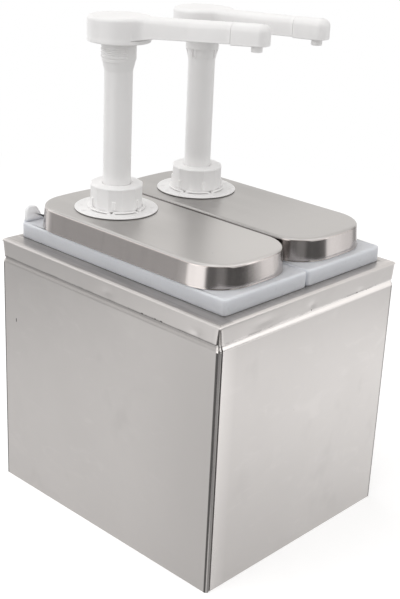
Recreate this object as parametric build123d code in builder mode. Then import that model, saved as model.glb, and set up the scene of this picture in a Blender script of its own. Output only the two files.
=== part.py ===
from build123d import *

import os
from math import cos, radians, sin, sqrt, tan

# Twin topping server: a folded steel box that holds two lift-out jars, each with a
# steel lid and a push-down pump. Millimetres, +Z up, front towards -Y. The origin is
# the middle of the box's footprint, on the surface that it stands on.

# ---- Jars: rectangular rim, obround mouth, tapered tub ----
jar_pitch = 97.6
rim_gap = 0.8  # between the two rims
rim_length = 240.0
rim_height = 13.3
rim_wall = 2.2
rim_corner = 4.0
rim_edge = 1.8
rim_overhang_side = 9.4  # rim beyond the tub, where the jar hangs
rim_overhang_end = 10.0
tub_corner = 30.0
tub_draft = 1.5  # degrees
tub_wall = 2.2
tub_foot_radius = 6.0
tub_ground = 30.0  # clear height under the tub
upstand_height = 10.0
upstand_wall = 2.0
upstand_clearance = 0.5  # to the inside of the lid
lug_width = 20.0
lug_height = 13.2
lug_thickness = 3.4
lug_inset = 2.4  # from the side of the rim
lug_margin = 1.0  # from its rear edge
lug_outer_radius = 4.0
lug_inner_radius = 11.0
gusset_count = 5
gusset_pitch = 44.0
gusset_thickness = 1.8
gusset_height = 6.0

# ---- Housing: folded sheet ----
housing_height = 230.5
border_side = 18.5  # steel beside the jar mouth
border_end = 14.0
jar_play_side = 3.7  # mouth beyond the tubs
jar_play_end = 4.5
jar_shift = 3.3  # the jars stand this far to the right in their play
jar_set_back = 2.4  # and this far to the back
sheet = 1.0
sheet_clearance = 0.2  # between sheets that lie face to face
bend_radius = 1.6  # outside of a fold
skirt_height = 16.0
skirt_gap = 0.6  # open line under the skirts
joggle_height = 4.5  # height over which a wall steps in behind the skirts
notch_top = 1.0  # open corner of the skirts, at the fold
notch_bottom = 3.4  # and at the lower edge
mouth_radius = 10.0
mouth_lip = 5.0
corner_face = 3.0  # plain face beside each lapped corner
lap_gap = 1.6  # open seam from that face to the next wall
lap_width = 13.0
pan_lip = 12.0

# ---- Lids: drawn steel covers ----
lid_gap = 0.4  # between the two lids
lid_length = 225.0
lid_height = 18.5
lid_sheet = 0.8
lid_edge = 2.4
lid_corner = 34.0
lid_crown = 4.0  # how far the rounded ends bulge

# ---- Pumps ----
pump_set_back = 51.9  # pump axis behind the middle of its jar
left_swivel = 14.0  # arm of the left pump at rest, degrees towards the middle
right_swivel = 0.0
disc_diameter = 70.8
disc_thickness = 1.8
ratchet_diameter = 49.0
ratchet_height = 2.0
ratchet_segments = 4
ratchet_gap = 7.0
collar_diameter = 43.3
collar_height = 18.8
collar_wall = 2.2
collar_roof = 2.0
collar_chamfer = 1.4
collar_sides = 12
collar_rib = 0.6
collar_rib_height = 5.0
collar_recess = 0.8
collar_recess_diameter = 33.0
thread_clearance = 0.4  # radial, between mating threads drawn as plain walls
slip = 0.2  # axial play between stacked pieces
fit_gap = 0.1  # radial, between pieces that are pushed together
running_gap = 0.3  # radial, between pieces that slide
barrel_bore = 26.4
barrel_wall = 2.2
barrel_flange = 2.0
bush_flange = 1.5
stem_diameter = 23.4
stem_exposed = 94.8  # from the collar to the cone below the neck
stem_buried = 27.2  # below the collar's top
stroke_margin = 2.8  # cone stays this far off the collar
cone_height = 10.4
neck_diameter = 28.6
neck_height = 13.3
neck_seat = 6.5  # depth of the neck in the head
thread_ridges = 3
thread_pitch = 3.0
thread_depth = 0.5
thread_arc = 124.0  # degrees of the neck that carry the ridges
relief_diameter = 25.0  # of the half of the neck's foot that has no cone
relief_rise = 2.4  # its foot above the cone's
relief_ribs = (49.0, 63.0, 147.0)  # degrees along that half
relief_rib_width = 1.2
left_neck_turn = 133.0  # degrees from +X to where the ridges start
right_neck_turn = 313.0
piston_height = 12.0
seal_height = 3.0
seal_depth = 1.5
spring_wire = 1.6
spring_turns = 9
spring_room = 22.0  # length left for the spring at full stroke
cage_height = 2.0
foot_diameter = 18.0
foot_length = 30.0
cage_slot = 3.0
ball_diameter = 11.0
ball_lift = 3.0
ball_side_gap = 1.5
ball_rest_gap = 0.3  # ball over the rim of its seat
seat_hole_diameter = 7.9
dip_diameter = 12.0
dip_wall = 1.6
dip_seat = 10.0
dip_gap = 8.5  # pipe end over the tub's floor
dip_slant = 30.0  # degrees
spigot_height = 8.0  # piston's spigot inside the stem
web_thickness = 2.0
gasket_thickness = 1.5
gasket_diameter = 56.0
flange_spigot_length = 13.0
flange_spigot_wall = 3.6
nut_diameter = 54.0
nut_height = 8.0
nut_lobes = 8
lobe_radius = 5.0
lobe_depth = 2.5
hub_diameter = 52.0
hub_height = 20.2
hub_step = 3.0  # underside of the arm's root above the hub's foot
hub_wall = 2.6
hub_recess = 4.6
arm_reach = 104.5  # pump axis to the seam of the nozzle
arm_root_width = 22.0
arm_width = 15.0
arm_height = 15.6
arm_rise = 3.2  # degrees
arm_blend = 12.0
arm_ramp = 6.0  # the underside starts to rise this far inside the hub's edge
head_edge = 4.0  # round edge along the top of the hub and the arm
arm_start = 8.0  # pump axis to where the arm's top starts to rise
arm_start_radius = 80.0  # of that bend
duct_bore = 8.0
nozzle_length = 29.5
nozzle_step = 0.8  # nozzle is this much deeper than the arm
nozzle_edge = 5.0
nozzle_plug = 8.0
nozzle_bore = 5.6
seam_gap = 0.3
spout_back = 10.0  # spout axis behind the tip
spout_diameter = 8.8
spout_length = 5.8
spout_bore = 5.2

# ---- Worked out from the sizes above ----
rim_width = jar_pitch - rim_gap
tub_width = rim_width - 2 * rim_overhang_side
tub_length = rim_length - 2 * rim_overhang_end
mouth_width = jar_pitch + tub_width + 2 * jar_play_side
mouth_depth = tub_length + 2 * jar_play_end
housing_width = mouth_width + 2 * border_side
housing_depth = mouth_depth + 2 * border_end
lap_depth = sheet + sheet_clearance
lid_width = jar_pitch - lid_gap
rim_top = housing_height + rim_height
tub_floor = tub_ground + tub_wall
lid_top = rim_top + lid_height
lid_ceiling = lid_top - lid_sheet
disc_top = lid_top + disc_thickness
collar_foot = disc_top + ratchet_height + slip
collar_top = collar_foot + collar_height
collar_ceiling = collar_top - collar_roof
bush_top = collar_ceiling - slip
barrel_top = bush_top - bush_flange
neck_top = barrel_top - barrel_flange
barrel_diameter = barrel_bore + 2 * barrel_wall
flange_bore = barrel_diameter + 2 * running_gap
flange_spigot_diameter = flange_bore + 2 * flange_spigot_wall
nut_bore = flange_spigot_diameter + 2 * thread_clearance
thread_diameter = collar_diameter - 2 * (collar_wall + thread_clearance)
lid_hole = flange_spigot_diameter + 2 * running_gap
piston_diameter = barrel_bore - 2 * running_gap
stem_end = collar_top - stem_buried
stem_bore = ball_diameter + 2 * ball_side_gap
bush_foot = stem_end + slip
cone_foot = collar_top + stem_exposed
neck_foot = cone_foot + cone_height
hub_foot = neck_foot + neck_height
stroke = stem_exposed - stroke_margin
piston_foot = stem_end - piston_height
cage_top = piston_foot - stroke - spring_room
barrel_floor = cage_top - cage_height
foot_end = barrel_floor - foot_length
gasket_foot = lid_ceiling - gasket_thickness
ball_rise = sqrt((ball_diameter / 2) ** 2 - (seat_hole_diameter / 2) ** 2) + ball_rest_gap
chamber_height = ball_rise + ball_diameter / 2 + ball_lift + ball_rest_gap
inlet_seat = barrel_floor - chamber_height
outlet_seat = stem_end + spigot_height
tip_reach = arm_reach + nozzle_length


def side_view(seat):
    """Upright plane through a seat's axis: local x is the seat's x, local y is height."""
    return Plane(origin=seat.origin, x_dir=seat.x_dir, z_dir=-seat.y_dir)


def arm_view(seat):
    """Upright plane along the pump's arm: local x runs to the front, local y is height."""
    return Plane(origin=seat.origin, x_dir=-seat.y_dir, z_dir=-seat.x_dir)


def axis_of(seat):
    return Axis(seat.origin, (0, 0, 1))


def finish(piece, name):
    """Label a finished piece and write it."""
    piece.part.label = name
    export_step(piece.part, f"parts/{name}.step")


os.makedirs("parts", exist_ok=True)


# ---------------------------------------------------------------- housing


def cut_corner_notches():
    """Wedges that open the corners of the skirts, wider towards the lower edge."""
    fold = housing_height - bend_radius
    low = housing_height - skirt_height
    for plane, half_width, half_depth in (
        (Plane.XZ, housing_width / 2, housing_depth / 2),
        (Plane.YZ, housing_depth / 2, housing_width / 2),
    ):
        for facing in (-1, 1):
            with BuildSketch(plane.offset(facing * half_depth)) as wedges:
                for end in (-1, 1):
                    with BuildLine():
                        Polyline(
                            (end * half_width, fold),
                            (end * (half_width - notch_top), fold),
                            (end * (half_width - notch_bottom), low),
                            (end * half_width, low),
                            close=True,
                        )
                    make_face()
            extrude(wedges.sketch, amount=-facing * sheet, mode=Mode.SUBTRACT)


def make_top_frame():
    """Folded frame with the jar mouth, a lip round it and four skirts."""
    low = Plane.XY.offset(housing_height - skirt_height)
    lip_foot = Plane.XY.offset(housing_height - mouth_lip)
    with BuildPart() as top_frame:
        with BuildSketch(low):
            Rectangle(housing_width, housing_depth)
        extrude(amount=skirt_height)
        fillet(top_frame.faces().sort_by(Axis.Z)[-1].edges(), bend_radius)
        with BuildSketch(low):
            Rectangle(housing_width - 2 * sheet, housing_depth - 2 * sheet)
        extrude(amount=skirt_height - sheet, mode=Mode.SUBTRACT)
        cut_corner_notches()
        with BuildSketch(lip_foot):
            RectangleRounded(mouth_width + 2 * sheet, mouth_depth + 2 * sheet, mouth_radius + sheet)
        extrude(amount=mouth_lip - sheet / 2)
        with BuildSketch(lip_foot):
            RectangleRounded(mouth_width, mouth_depth, mouth_radius)
        extrude(amount=mouth_lip, mode=Mode.SUBTRACT)
    return top_frame


def wall_section(level, inset, lapped):
    """Section of the left and back wall, its outside drawn in by inset.

    Where it is lapped, it ends in a flange that passes behind the front wall.
    """
    half_width = housing_width / 2 - inset
    half_depth = housing_depth / 2 - inset
    face_end = (-half_width + corner_face, -half_depth)
    flange = [
        (face_end[0] + lap_width, face_end[1] + lap_depth),
        (face_end[0], face_end[1] + lap_depth),
    ]
    with BuildSketch(Plane.XY.offset(level), mode=Mode.PRIVATE) as section:
        with BuildLine():
            outside = Polyline(
                *(flange if lapped else []),
                face_end,
                (-half_width, -half_depth),
                (-half_width, half_depth),
                (half_width - corner_face - lap_gap, half_depth),
            )
            offset(outside, amount=sheet, side=Side.RIGHT, kind=Kind.INTERSECTION)
        make_face()
        for line in (0, sheet):
            fold = section.vertices().filter_by(
                lambda v: abs(v.X + half_width - line) < 0.01
                and abs(abs(v.Y) - half_depth + line) < 0.01
            )
            fillet(fold, bend_radius - line)
    return section.sketch


def make_side_back_sheet():
    """Left and back walls in one sheet, joggled inwards at the top behind the skirts."""
    joggle_top = housing_height - skirt_height - skirt_gap
    joggle_foot = joggle_top - joggle_height
    wall_top = housing_height - sheet - sheet_clearance
    with BuildPart() as side_back_sheet:
        extrude(wall_section(0, 0, True), amount=joggle_foot)
        loft([wall_section(joggle_foot, 0, False), wall_section(joggle_top, lap_depth, False)], ruled=True)
        extrude(wall_section(joggle_top, lap_depth, False), amount=wall_top - joggle_top)
    return side_back_sheet


def make_front_side_sheet():
    """Front and right walls: the same pressing turned half round."""
    pressing = make_side_back_sheet().part
    with BuildPart() as front_side_sheet:
        add(pressing, rotation=(0, 0, 180))
    return front_side_sheet


def make_base_pan():
    """Floor tray whose lip stands inside the walls."""
    pan_width = housing_width - 2 * lap_depth
    pan_depth = housing_depth - 2 * (lap_depth + sheet + sheet_clearance)
    with BuildPart() as base_pan:
        with BuildSketch():
            Rectangle(pan_width, pan_depth)
        extrude(amount=pan_lip)
        fillet(base_pan.edges().filter_by(Axis.Z), bend_radius)
        fillet(base_pan.faces().sort_by(Axis.Z)[0].edges(), bend_radius)
        with BuildSketch(Plane.XY.offset(sheet)):
            Rectangle(pan_width - 2 * sheet, pan_depth - 2 * sheet)
        extrude(amount=pan_lip, mode=Mode.SUBTRACT)
    return base_pan


# ---------------------------------------------------------------- jars and lids


def lid_outline(seat, level, inset):
    """Obround outline of a lid, drawn in by inset: straight sides and bulging ends."""
    half_width = lid_width / 2 - inset
    half_length = lid_length / 2 - inset
    shoulder = half_length - lid_crown
    with BuildSketch(seat.offset(level), mode=Mode.PRIVATE) as outline:
        with BuildLine():
            Line((-half_width, -shoulder), (-half_width, shoulder))
            ThreePointArc((-half_width, shoulder), (0, half_length), (half_width, shoulder))
            Line((half_width, shoulder), (half_width, -shoulder))
            ThreePointArc((half_width, -shoulder), (0, -half_length), (-half_width, -shoulder))
        make_face()
        fillet(outline.vertices(), lid_corner - inset)
    return outline.sketch


def tub_section(seat, level, inset):
    """Section of the tapered tub at one height, drawn in by inset."""
    shift = (rim_top - level) * tan(radians(tub_draft)) + inset
    with BuildSketch(seat.offset(level), mode=Mode.PRIVATE) as section:
        RectangleRounded(tub_width - 2 * shift, tub_length - 2 * shift, tub_corner - shift)
    return section.sketch


def make_cavity(seat):
    """Inside of a tub."""
    with BuildPart() as cavity:
        loft([tub_section(seat, tub_floor, tub_wall), tub_section(seat, rim_top, tub_wall)])
        fillet(cavity.faces().sort_by(Axis.Z)[0].edges(), tub_foot_radius - tub_wall)
    return cavity.part


def add_lugs(seat):
    """Rounded finger lugs at the rear corners of the rim."""
    rear = seat.origin + Vector(0, rim_length / 2 - lug_margin, 0)
    middle = rim_width / 2 - lug_inset - lug_width / 2
    height = lug_height + rim_wall / 2
    for hand in (-1, 1):
        with BuildSketch(Plane(origin=rear, x_dir=(1, 0, 0), z_dir=(0, -1, 0))) as lug:
            with Locations((hand * middle, rim_top + lug_height - height / 2)):
                Rectangle(lug_width, height)
            corners = lug.vertices().group_by(Axis.Y)[-1].sort_by(Axis.X)
            fillet(corners[0 if hand < 0 else -1], lug_outer_radius)
            corners = lug.vertices().group_by(Axis.Y)[-1].sort_by(Axis.X)
            fillet(corners[-1 if hand < 0 else 0], lug_inner_radius)
        extrude(lug.sketch, amount=lug_thickness)


def make_jar(seat):
    """Jar: hollow rim that rests on the frame, mouth with an upstand, tapered tub."""
    cavity = make_cavity(seat)
    foot = seat.offset(housing_height)
    upstand_inset = lid_sheet + upstand_clearance
    with BuildPart() as jar:
        with BuildSketch(foot):
            RectangleRounded(rim_width, rim_length, rim_corner)
        extrude(amount=rim_height)
        fillet(jar.faces().sort_by(Axis.Z)[-1].edges(), rim_edge)
        with BuildSketch(foot):
            RectangleRounded(rim_width - 2 * rim_wall, rim_length - 2 * rim_wall, rim_corner - rim_wall)
        extrude(amount=rim_height - rim_wall, mode=Mode.SUBTRACT)
        with BuildSketch(seat.offset(rim_top - rim_wall - gusset_height)):
            for hand in (-1, 1):
                with Locations((hand * (rim_width - rim_wall - rim_overhang_side) / 2, 0)):
                    with GridLocations(0, gusset_pitch, 1, gusset_count):
                        Rectangle(rim_overhang_side, gusset_thickness)
        extrude(amount=gusset_height + rim_wall / 2)
        loft([tub_section(seat, tub_ground, 0), tub_section(seat, rim_top - rim_wall / 2, 0)])
        fillet(jar.faces().sort_by(Axis.Z)[0].edges(), tub_foot_radius)
        outside = lid_outline(seat, rim_top - rim_edge, upstand_inset)
        extrude(outside, amount=upstand_height + rim_edge)
        inside = lid_outline(seat, rim_top, upstand_inset + upstand_wall)
        extrude(inside, amount=upstand_height, mode=Mode.SUBTRACT)
        add_lugs(seat)
        add(cavity, mode=Mode.SUBTRACT)
    return jar


def make_lid_hollow(seat):
    """Inside of a lid."""
    with BuildPart() as hollow:
        extrude(lid_outline(seat, rim_top, lid_sheet), amount=lid_height - lid_sheet)
        fillet(hollow.faces().sort_by(Axis.Z)[-1].edges(), lid_edge - lid_sheet)
    return hollow.part


def make_lid(seat):
    """Drawn steel cover with a hole for the pump."""
    hollow = make_lid_hollow(seat)
    with BuildPart() as lid:
        extrude(lid_outline(seat, rim_top, 0), amount=lid_height)
        fillet(lid.faces().sort_by(Axis.Z)[-1].edges(), lid_edge)
        add(hollow, mode=Mode.SUBTRACT)
        with BuildSketch(seat.offset(rim_top)):
            with Locations((0, pump_set_back)):
                Circle(lid_hole / 2)
        extrude(amount=lid_height, mode=Mode.SUBTRACT)
    return lid


# ---------------------------------------------------------------- pumps


def disc(seat, level, radius, height, mode=Mode.ADD):
    """Round plate or, with Mode.SUBTRACT, a round hole about the seat's axis."""
    with BuildSketch(seat.offset(level)) as plate:
        Circle(radius)
    extrude(plate.sketch, amount=height, mode=mode)


def turn(seat, outline, arc=360.0):
    """Revolve a closed outline of (radius, height) points about the seat's axis."""
    with BuildSketch(side_view(seat)) as section:
        with BuildLine():
            Polyline(*outline, close=True)
        make_face()
    revolve(section.sketch, axis=axis_of(seat), revolution_arc=arc)


def make_pump_flange(seat):
    """Disc on the lid, ratchet ring, threaded neck above and spigot below."""
    tooth = (ratchet_diameter - thread_diameter) / 2
    spigot_end = lid_top - flange_spigot_length
    with BuildPart() as pump_flange:
        disc(seat, lid_top, disc_diameter / 2, disc_thickness)
        chamfer(pump_flange.faces().sort_by(Axis.Z)[-1].edges(), disc_thickness / 3)
        disc(seat, lid_top, ratchet_diameter / 2, disc_thickness + ratchet_height)
        with BuildSketch(seat.offset(disc_top)):
            with PolarLocations(thread_diameter / 2 + tooth, ratchet_segments):
                Rectangle(2 * tooth, ratchet_gap)
        extrude(amount=ratchet_height, mode=Mode.SUBTRACT)
        disc(seat, lid_top, thread_diameter / 2, neck_top - lid_top)
        disc(seat, spigot_end, flange_spigot_diameter / 2, flange_spigot_length)
        disc(seat, spigot_end, flange_bore / 2, neck_top - spigot_end, Mode.SUBTRACT)
    return pump_flange


def make_flange_gasket(seat):
    """Soft ring between the lid and the nut."""
    with BuildPart() as flange_gasket:
        disc(seat, gasket_foot, gasket_diameter / 2, gasket_thickness)
        disc(seat, gasket_foot, nut_bore / 2, gasket_thickness, Mode.SUBTRACT)
    return flange_gasket


def make_flange_nut(seat):
    """Lobed nut that clamps the pump flange from inside the lid."""
    foot = gasket_foot - nut_height
    with BuildPart() as flange_nut:
        disc(seat, foot, nut_diameter / 2, nut_height)
        with BuildSketch(seat.offset(foot)):
            with PolarLocations(nut_diameter / 2 + lobe_radius - lobe_depth, nut_lobes):
                Circle(lobe_radius)
        extrude(amount=nut_height, mode=Mode.SUBTRACT)
        disc(seat, foot, nut_bore / 2, nut_height, Mode.SUBTRACT)
    return flange_nut


def make_collar(seat):
    """Twelve-sided grip ring that screws on the neck and holds the barrel down."""
    apothem = collar_diameter / 2
    with BuildPart() as collar:
        with BuildSketch(seat.offset(collar_foot)):
            RegularPolygon(apothem, collar_sides, major_radius=False)
        extrude(amount=collar_height)
        chamfer(collar.faces().sort_by(Axis.Z)[-1].edges(), collar_chamfer)
        with BuildSketch(seat.offset(collar_foot)):
            with PolarLocations(apothem, collar_sides, start_angle=180 / collar_sides):
                Rectangle(2 * collar_rib, 2 * collar_rib)
        extrude(amount=collar_rib_height)
        inside = thread_diameter / 2 + thread_clearance
        disc(seat, collar_foot, inside, collar_ceiling - collar_foot, Mode.SUBTRACT)
        disc(seat, collar_foot, stem_diameter / 2 + running_gap, collar_height, Mode.SUBTRACT)
        recess_floor = collar_top - collar_recess
        disc(seat, recess_floor, collar_recess_diameter / 2, collar_recess, Mode.SUBTRACT)
    return collar


def make_barrel(seat):
    """Pump cylinder: flange on the neck, bore, ball chamber and socket for the pipe."""
    outside = barrel_diameter / 2
    foot = foot_diameter / 2
    shoulder = barrel_floor - barrel_wall
    with BuildPart() as barrel:
        turn(
            seat,
            [
                (0, barrel_top),
                (thread_diameter / 2, barrel_top),
                (thread_diameter / 2, neck_top),
                (outside, neck_top),
                (outside, shoulder),
                (foot, shoulder - (outside - foot)),
                (foot, foot_end),
                (0, foot_end),
            ],
        )
        disc(seat, barrel_floor, barrel_bore / 2, barrel_top - barrel_floor, Mode.SUBTRACT)
        disc(seat, inlet_seat, stem_bore / 2, chamber_height, Mode.SUBTRACT)
        disc(seat, foot_end, seat_hole_diameter / 2, inlet_seat - foot_end, Mode.SUBTRACT)
        disc(seat, foot_end, dip_diameter / 2 + fit_gap, dip_seat, Mode.SUBTRACT)
    return barrel


def make_guide_bush(seat):
    """Flanged bush in the barrel's mouth: guides the stem and stops the piston."""
    with BuildPart() as guide_bush:
        disc(seat, barrel_top, thread_diameter / 2, bush_flange)
        disc(seat, bush_foot, barrel_bore / 2 - fit_gap, bush_top - bush_foot)
        disc(seat, bush_foot, stem_diameter / 2 + running_gap, bush_top - bush_foot, Mode.SUBTRACT)
    return guide_bush


def make_valve_cage(seat):
    """Slotted disc under the spring: keeps the inlet ball in its chamber."""
    with BuildPart() as valve_cage:
        disc(seat, barrel_floor, barrel_bore / 2 - fit_gap, cage_height)
        with BuildSketch(seat.offset(barrel_floor)):
            Circle(seat_hole_diameter / 2)
            for angle in (0, 90):
                Rectangle(foot_diameter, cage_slot, rotation=angle)
        extrude(amount=cage_height, mode=Mode.SUBTRACT)
    return valve_cage


def make_dip_tube(seat):
    """Suction pipe, cut at a slant at its lower end."""
    end = tub_floor + dip_gap
    top = foot_end + dip_seat - slip
    radius = dip_diameter / 2
    with BuildPart() as dip_tube:
        disc(seat, end, radius, top - end)
        disc(seat, end, radius - dip_wall, top - end, Mode.SUBTRACT)
        with BuildSketch(side_view(seat)):
            with BuildLine():
                Polyline(
                    (-radius, end),
                    (radius, end),
                    (-radius, end + dip_diameter * tan(radians(dip_slant))),
                    close=True,
                )
            make_face()
        extrude(amount=radius, both=True, mode=Mode.SUBTRACT)
    return dip_tube


def make_ball(seat, level):
    """Valve ball that rests over the hole of the valve seat at one height."""
    with BuildPart() as ball:
        with Locations(seat.offset(level + ball_rise)):
            Sphere(ball_diameter / 2)
    return ball


def make_spring(seat):
    """Round-wire coil spring between the cage and the piston."""
    foot = cage_top + spring_wire / 2 + slip
    length = piston_foot - spring_wire / 2 - slip - foot
    radius = piston_diameter / 2 - spring_wire
    with BuildPart() as spring:
        with BuildLine():
            coil = Helix(length / spring_turns, length, radius, center=seat.offset(foot).origin)
        with BuildSketch(Plane(origin=coil @ 0, z_dir=coil % 0)):
            Circle(spring_wire / 2)
        sweep(is_frenet=True)
    return spring


def make_piston(seat):
    """Piston with a seal groove and the spigot that carries the outlet ball's seat."""
    outside = piston_diameter / 2
    groove_foot = piston_foot + (piston_height - seal_height) / 2
    with BuildPart() as piston:
        disc(seat, piston_foot, outside, piston_height)
        disc(seat, piston_foot, stem_bore / 2 - fit_gap, outlet_seat - piston_foot)
        with BuildSketch(seat.offset(groove_foot)):
            Circle(outside)
            Circle(outside - seal_depth, mode=Mode.SUBTRACT)
        extrude(amount=seal_height, mode=Mode.SUBTRACT)
        disc(seat, piston_foot, seat_hole_diameter / 2, outlet_seat - piston_foot, Mode.SUBTRACT)
    return piston


def make_piston_seal(seat):
    """Soft ring in the piston's groove."""
    foot = piston_foot + (piston_height - seal_height) / 2 + fit_gap
    height = seal_height - 2 * fit_gap
    with BuildPart() as piston_seal:
        disc(seat, foot, barrel_bore / 2 - fit_gap, height)
        disc(seat, foot, piston_diameter / 2 - seal_depth + fit_gap, height, Mode.SUBTRACT)
    return piston_seal


def make_stem(seat):
    """Plunger tube and neck, with a web inside that stops the ball.

    One half of the neck has a cone under it and carries the lock-down ridges; the other
    half is relieved and ribbed. The seat's x axis points to where the ridges start.
    """
    tube = stem_diameter / 2
    bore = stem_bore / 2
    neck = neck_diameter / 2
    relief = relief_diameter / 2
    relief_foot = cone_foot + relief_rise
    top = hub_foot + neck_seat - slip
    web = outlet_seat + chamber_height
    above = web + web_thickness
    with BuildPart() as stem:
        turn(
            seat,
            [
                (0, stem_end),
                (tube, stem_end),
                (tube, relief_foot),
                (relief, relief_foot),
                (relief, neck_foot),
                (neck, neck_foot),
                (neck, top),
                (0, top),
            ],
        )
        turn(seat, [(bore, cone_foot), (tube, cone_foot), (neck, neck_foot), (bore, neck_foot)], 180)
        for ridge in range(thread_ridges):
            level = neck_foot + thread_pitch * (ridge + 0.5)
            turn(
                seat,
                [
                    (neck - thread_depth, level - thread_pitch / 4),
                    (neck + thread_depth, level - thread_pitch / 8),
                    (neck + thread_depth, level + thread_pitch / 8),
                    (neck - thread_depth, level + thread_pitch / 4),
                ],
                thread_arc,
            )
        with BuildSketch(seat.offset(relief_foot)):
            for angle in relief_ribs:
                with PolarLocations(relief, 1, start_angle=180 + angle):
                    Rectangle(neck - relief, relief_rib_width)
        extrude(amount=neck_foot - relief_foot)
        disc(seat, stem_end, bore, web - stem_end, Mode.SUBTRACT)
        disc(seat, web, seat_hole_diameter / 2, web_thickness, Mode.SUBTRACT)
        disc(seat, above, bore, top - above, Mode.SUBTRACT)
    return stem


def arm_top(along):
    """Height of the arm's top line at a distance from the pump axis."""
    return hub_foot + hub_height + (along - arm_start) * tan(radians(arm_rise))


def duct_plane(seat, along):
    """Plane across the duct at a distance from the pump axis, facing the tip."""
    rise = radians(arm_rise)
    height = Vector(0, 0, arm_top(along) - arm_height / 2)
    return Plane(
        origin=seat.origin - seat.y_dir * along + height,
        x_dir=seat.x_dir,
        z_dir=-seat.y_dir * cos(rise) + Vector(0, 0, sin(rise)),
    )


def make_head(seat):
    """Hub and arm: a round hub blended into a tapering arm, with a duct inside."""
    hub = hub_diameter / 2
    boss = neck_diameter / 2 + fit_gap + hub_wall
    duct = duct_plane(seat, 0)
    underside = hub_foot + hub_step
    ramp_end = hub + arm_blend
    with BuildPart() as head:
        with BuildSketch(seat.offset(hub_foot)) as plan:
            Circle(hub)
            with BuildLine():
                Polyline(
                    (arm_root_width / 2, 0),
                    (arm_width / 2, -arm_reach),
                    (-arm_width / 2, -arm_reach),
                    (-arm_root_width / 2, 0),
                    close=True,
                )
            make_face()
            inner = plan.vertices().filter_by(lambda v: -hub < v.Y < -hub / 2)
            fillet(inner, arm_blend)
        extrude(amount=2 * hub_height)
        with BuildSketch(arm_view(seat)) as side:
            with BuildLine():
                Polyline(
                    (-hub, underside),
                    (hub - arm_ramp, underside),
                    (ramp_end, arm_top(ramp_end) - arm_height),
                    (arm_reach, arm_top(arm_reach) - arm_height),
                    (arm_reach, arm_top(arm_reach)),
                    (arm_start, arm_top(arm_start)),
                    (-hub, arm_top(arm_start)),
                    close=True,
                )
            make_face()
            bend = side.vertices().filter_by(lambda v: abs(v.X - arm_start) < 0.01)
            fillet(bend, arm_start_radius)
        extrude(amount=hub, both=True, mode=Mode.INTERSECT)
        tops = head.faces().filter_by(lambda f: f.normal_at().Z > 0.9)
        straight_across = tops.edges().filter_by(GeomType.LINE).filter_by(
            lambda e: abs(seat.to_local_coords(e @ 0.5).X) < 0.01
        )
        fillet([edge for edge in tops.edges() if edge not in straight_across], head_edge)
        disc(seat, hub_foot, hub, hub_recess)
        with BuildSketch(seat.offset(hub_foot)):
            Circle(hub - hub_wall)
            Circle(boss, mode=Mode.SUBTRACT)
        extrude(amount=hub_recess, mode=Mode.SUBTRACT)
        disc(seat, hub_foot, neck_diameter / 2 + fit_gap, neck_seat, Mode.SUBTRACT)
        disc(seat, hub_foot, duct_bore / 2, duct.origin.Z - hub_foot, Mode.SUBTRACT)
        with BuildSketch(duct):
            Circle(duct_bore / 2)
        extrude(amount=tip_reach, mode=Mode.SUBTRACT)
    return head


def make_nozzle(seat):
    """Arm's end piece: plugs into the duct and turns the flow down into a spout."""
    start = arm_reach + seam_gap
    depth = arm_height + nozzle_step
    spout_reach = tip_reach - spout_back
    spout_seat = Plane(origin=seat.origin - seat.y_dir * spout_reach)
    spout_root = arm_top(spout_reach) - arm_height / 2
    spout_end = arm_top(spout_reach) - depth - spout_length
    with BuildPart() as nozzle:
        with BuildSketch(arm_view(seat)):
            with BuildLine():
                Polyline(
                    (start, arm_top(start) - depth),
                    (tip_reach, arm_top(tip_reach) - depth),
                    (tip_reach, arm_top(tip_reach)),
                    (start, arm_top(start)),
                    close=True,
                )
            make_face()
        extrude(amount=arm_width / 2, both=True)
        seam, *_, tip = nozzle.faces().sort_by(Axis(seat.origin, -seat.y_dir))
        roof = nozzle.faces().sort_by(Axis.Z)[-1]
        upright = tip.edges().filter_by(Axis.Z)
        fillet([edge for edge in roof.edges() if edge not in seam.edges()] + upright, nozzle_edge)
        disc(spout_seat, spout_end, spout_diameter / 2, spout_root - spout_end)
        with BuildSketch(duct_plane(seat, start - nozzle_plug)):
            Circle(duct_bore / 2 - fit_gap)
        extrude(amount=nozzle_plug + arm_width / 2)
        disc(spout_seat, spout_end, spout_bore / 2, spout_root - spout_end, Mode.SUBTRACT)
        with BuildSketch(duct_plane(seat, start - nozzle_plug)):
            Circle(nozzle_bore / 2)
        extrude(amount=nozzle_plug + nozzle_length - spout_back, mode=Mode.SUBTRACT)
    return nozzle


finish(make_top_frame(), "top_frame")
finish(make_side_back_sheet(), "side_back_sheet")
finish(make_front_side_sheet(), "front_side_sheet")
finish(make_base_pan(), "base_pan")

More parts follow.
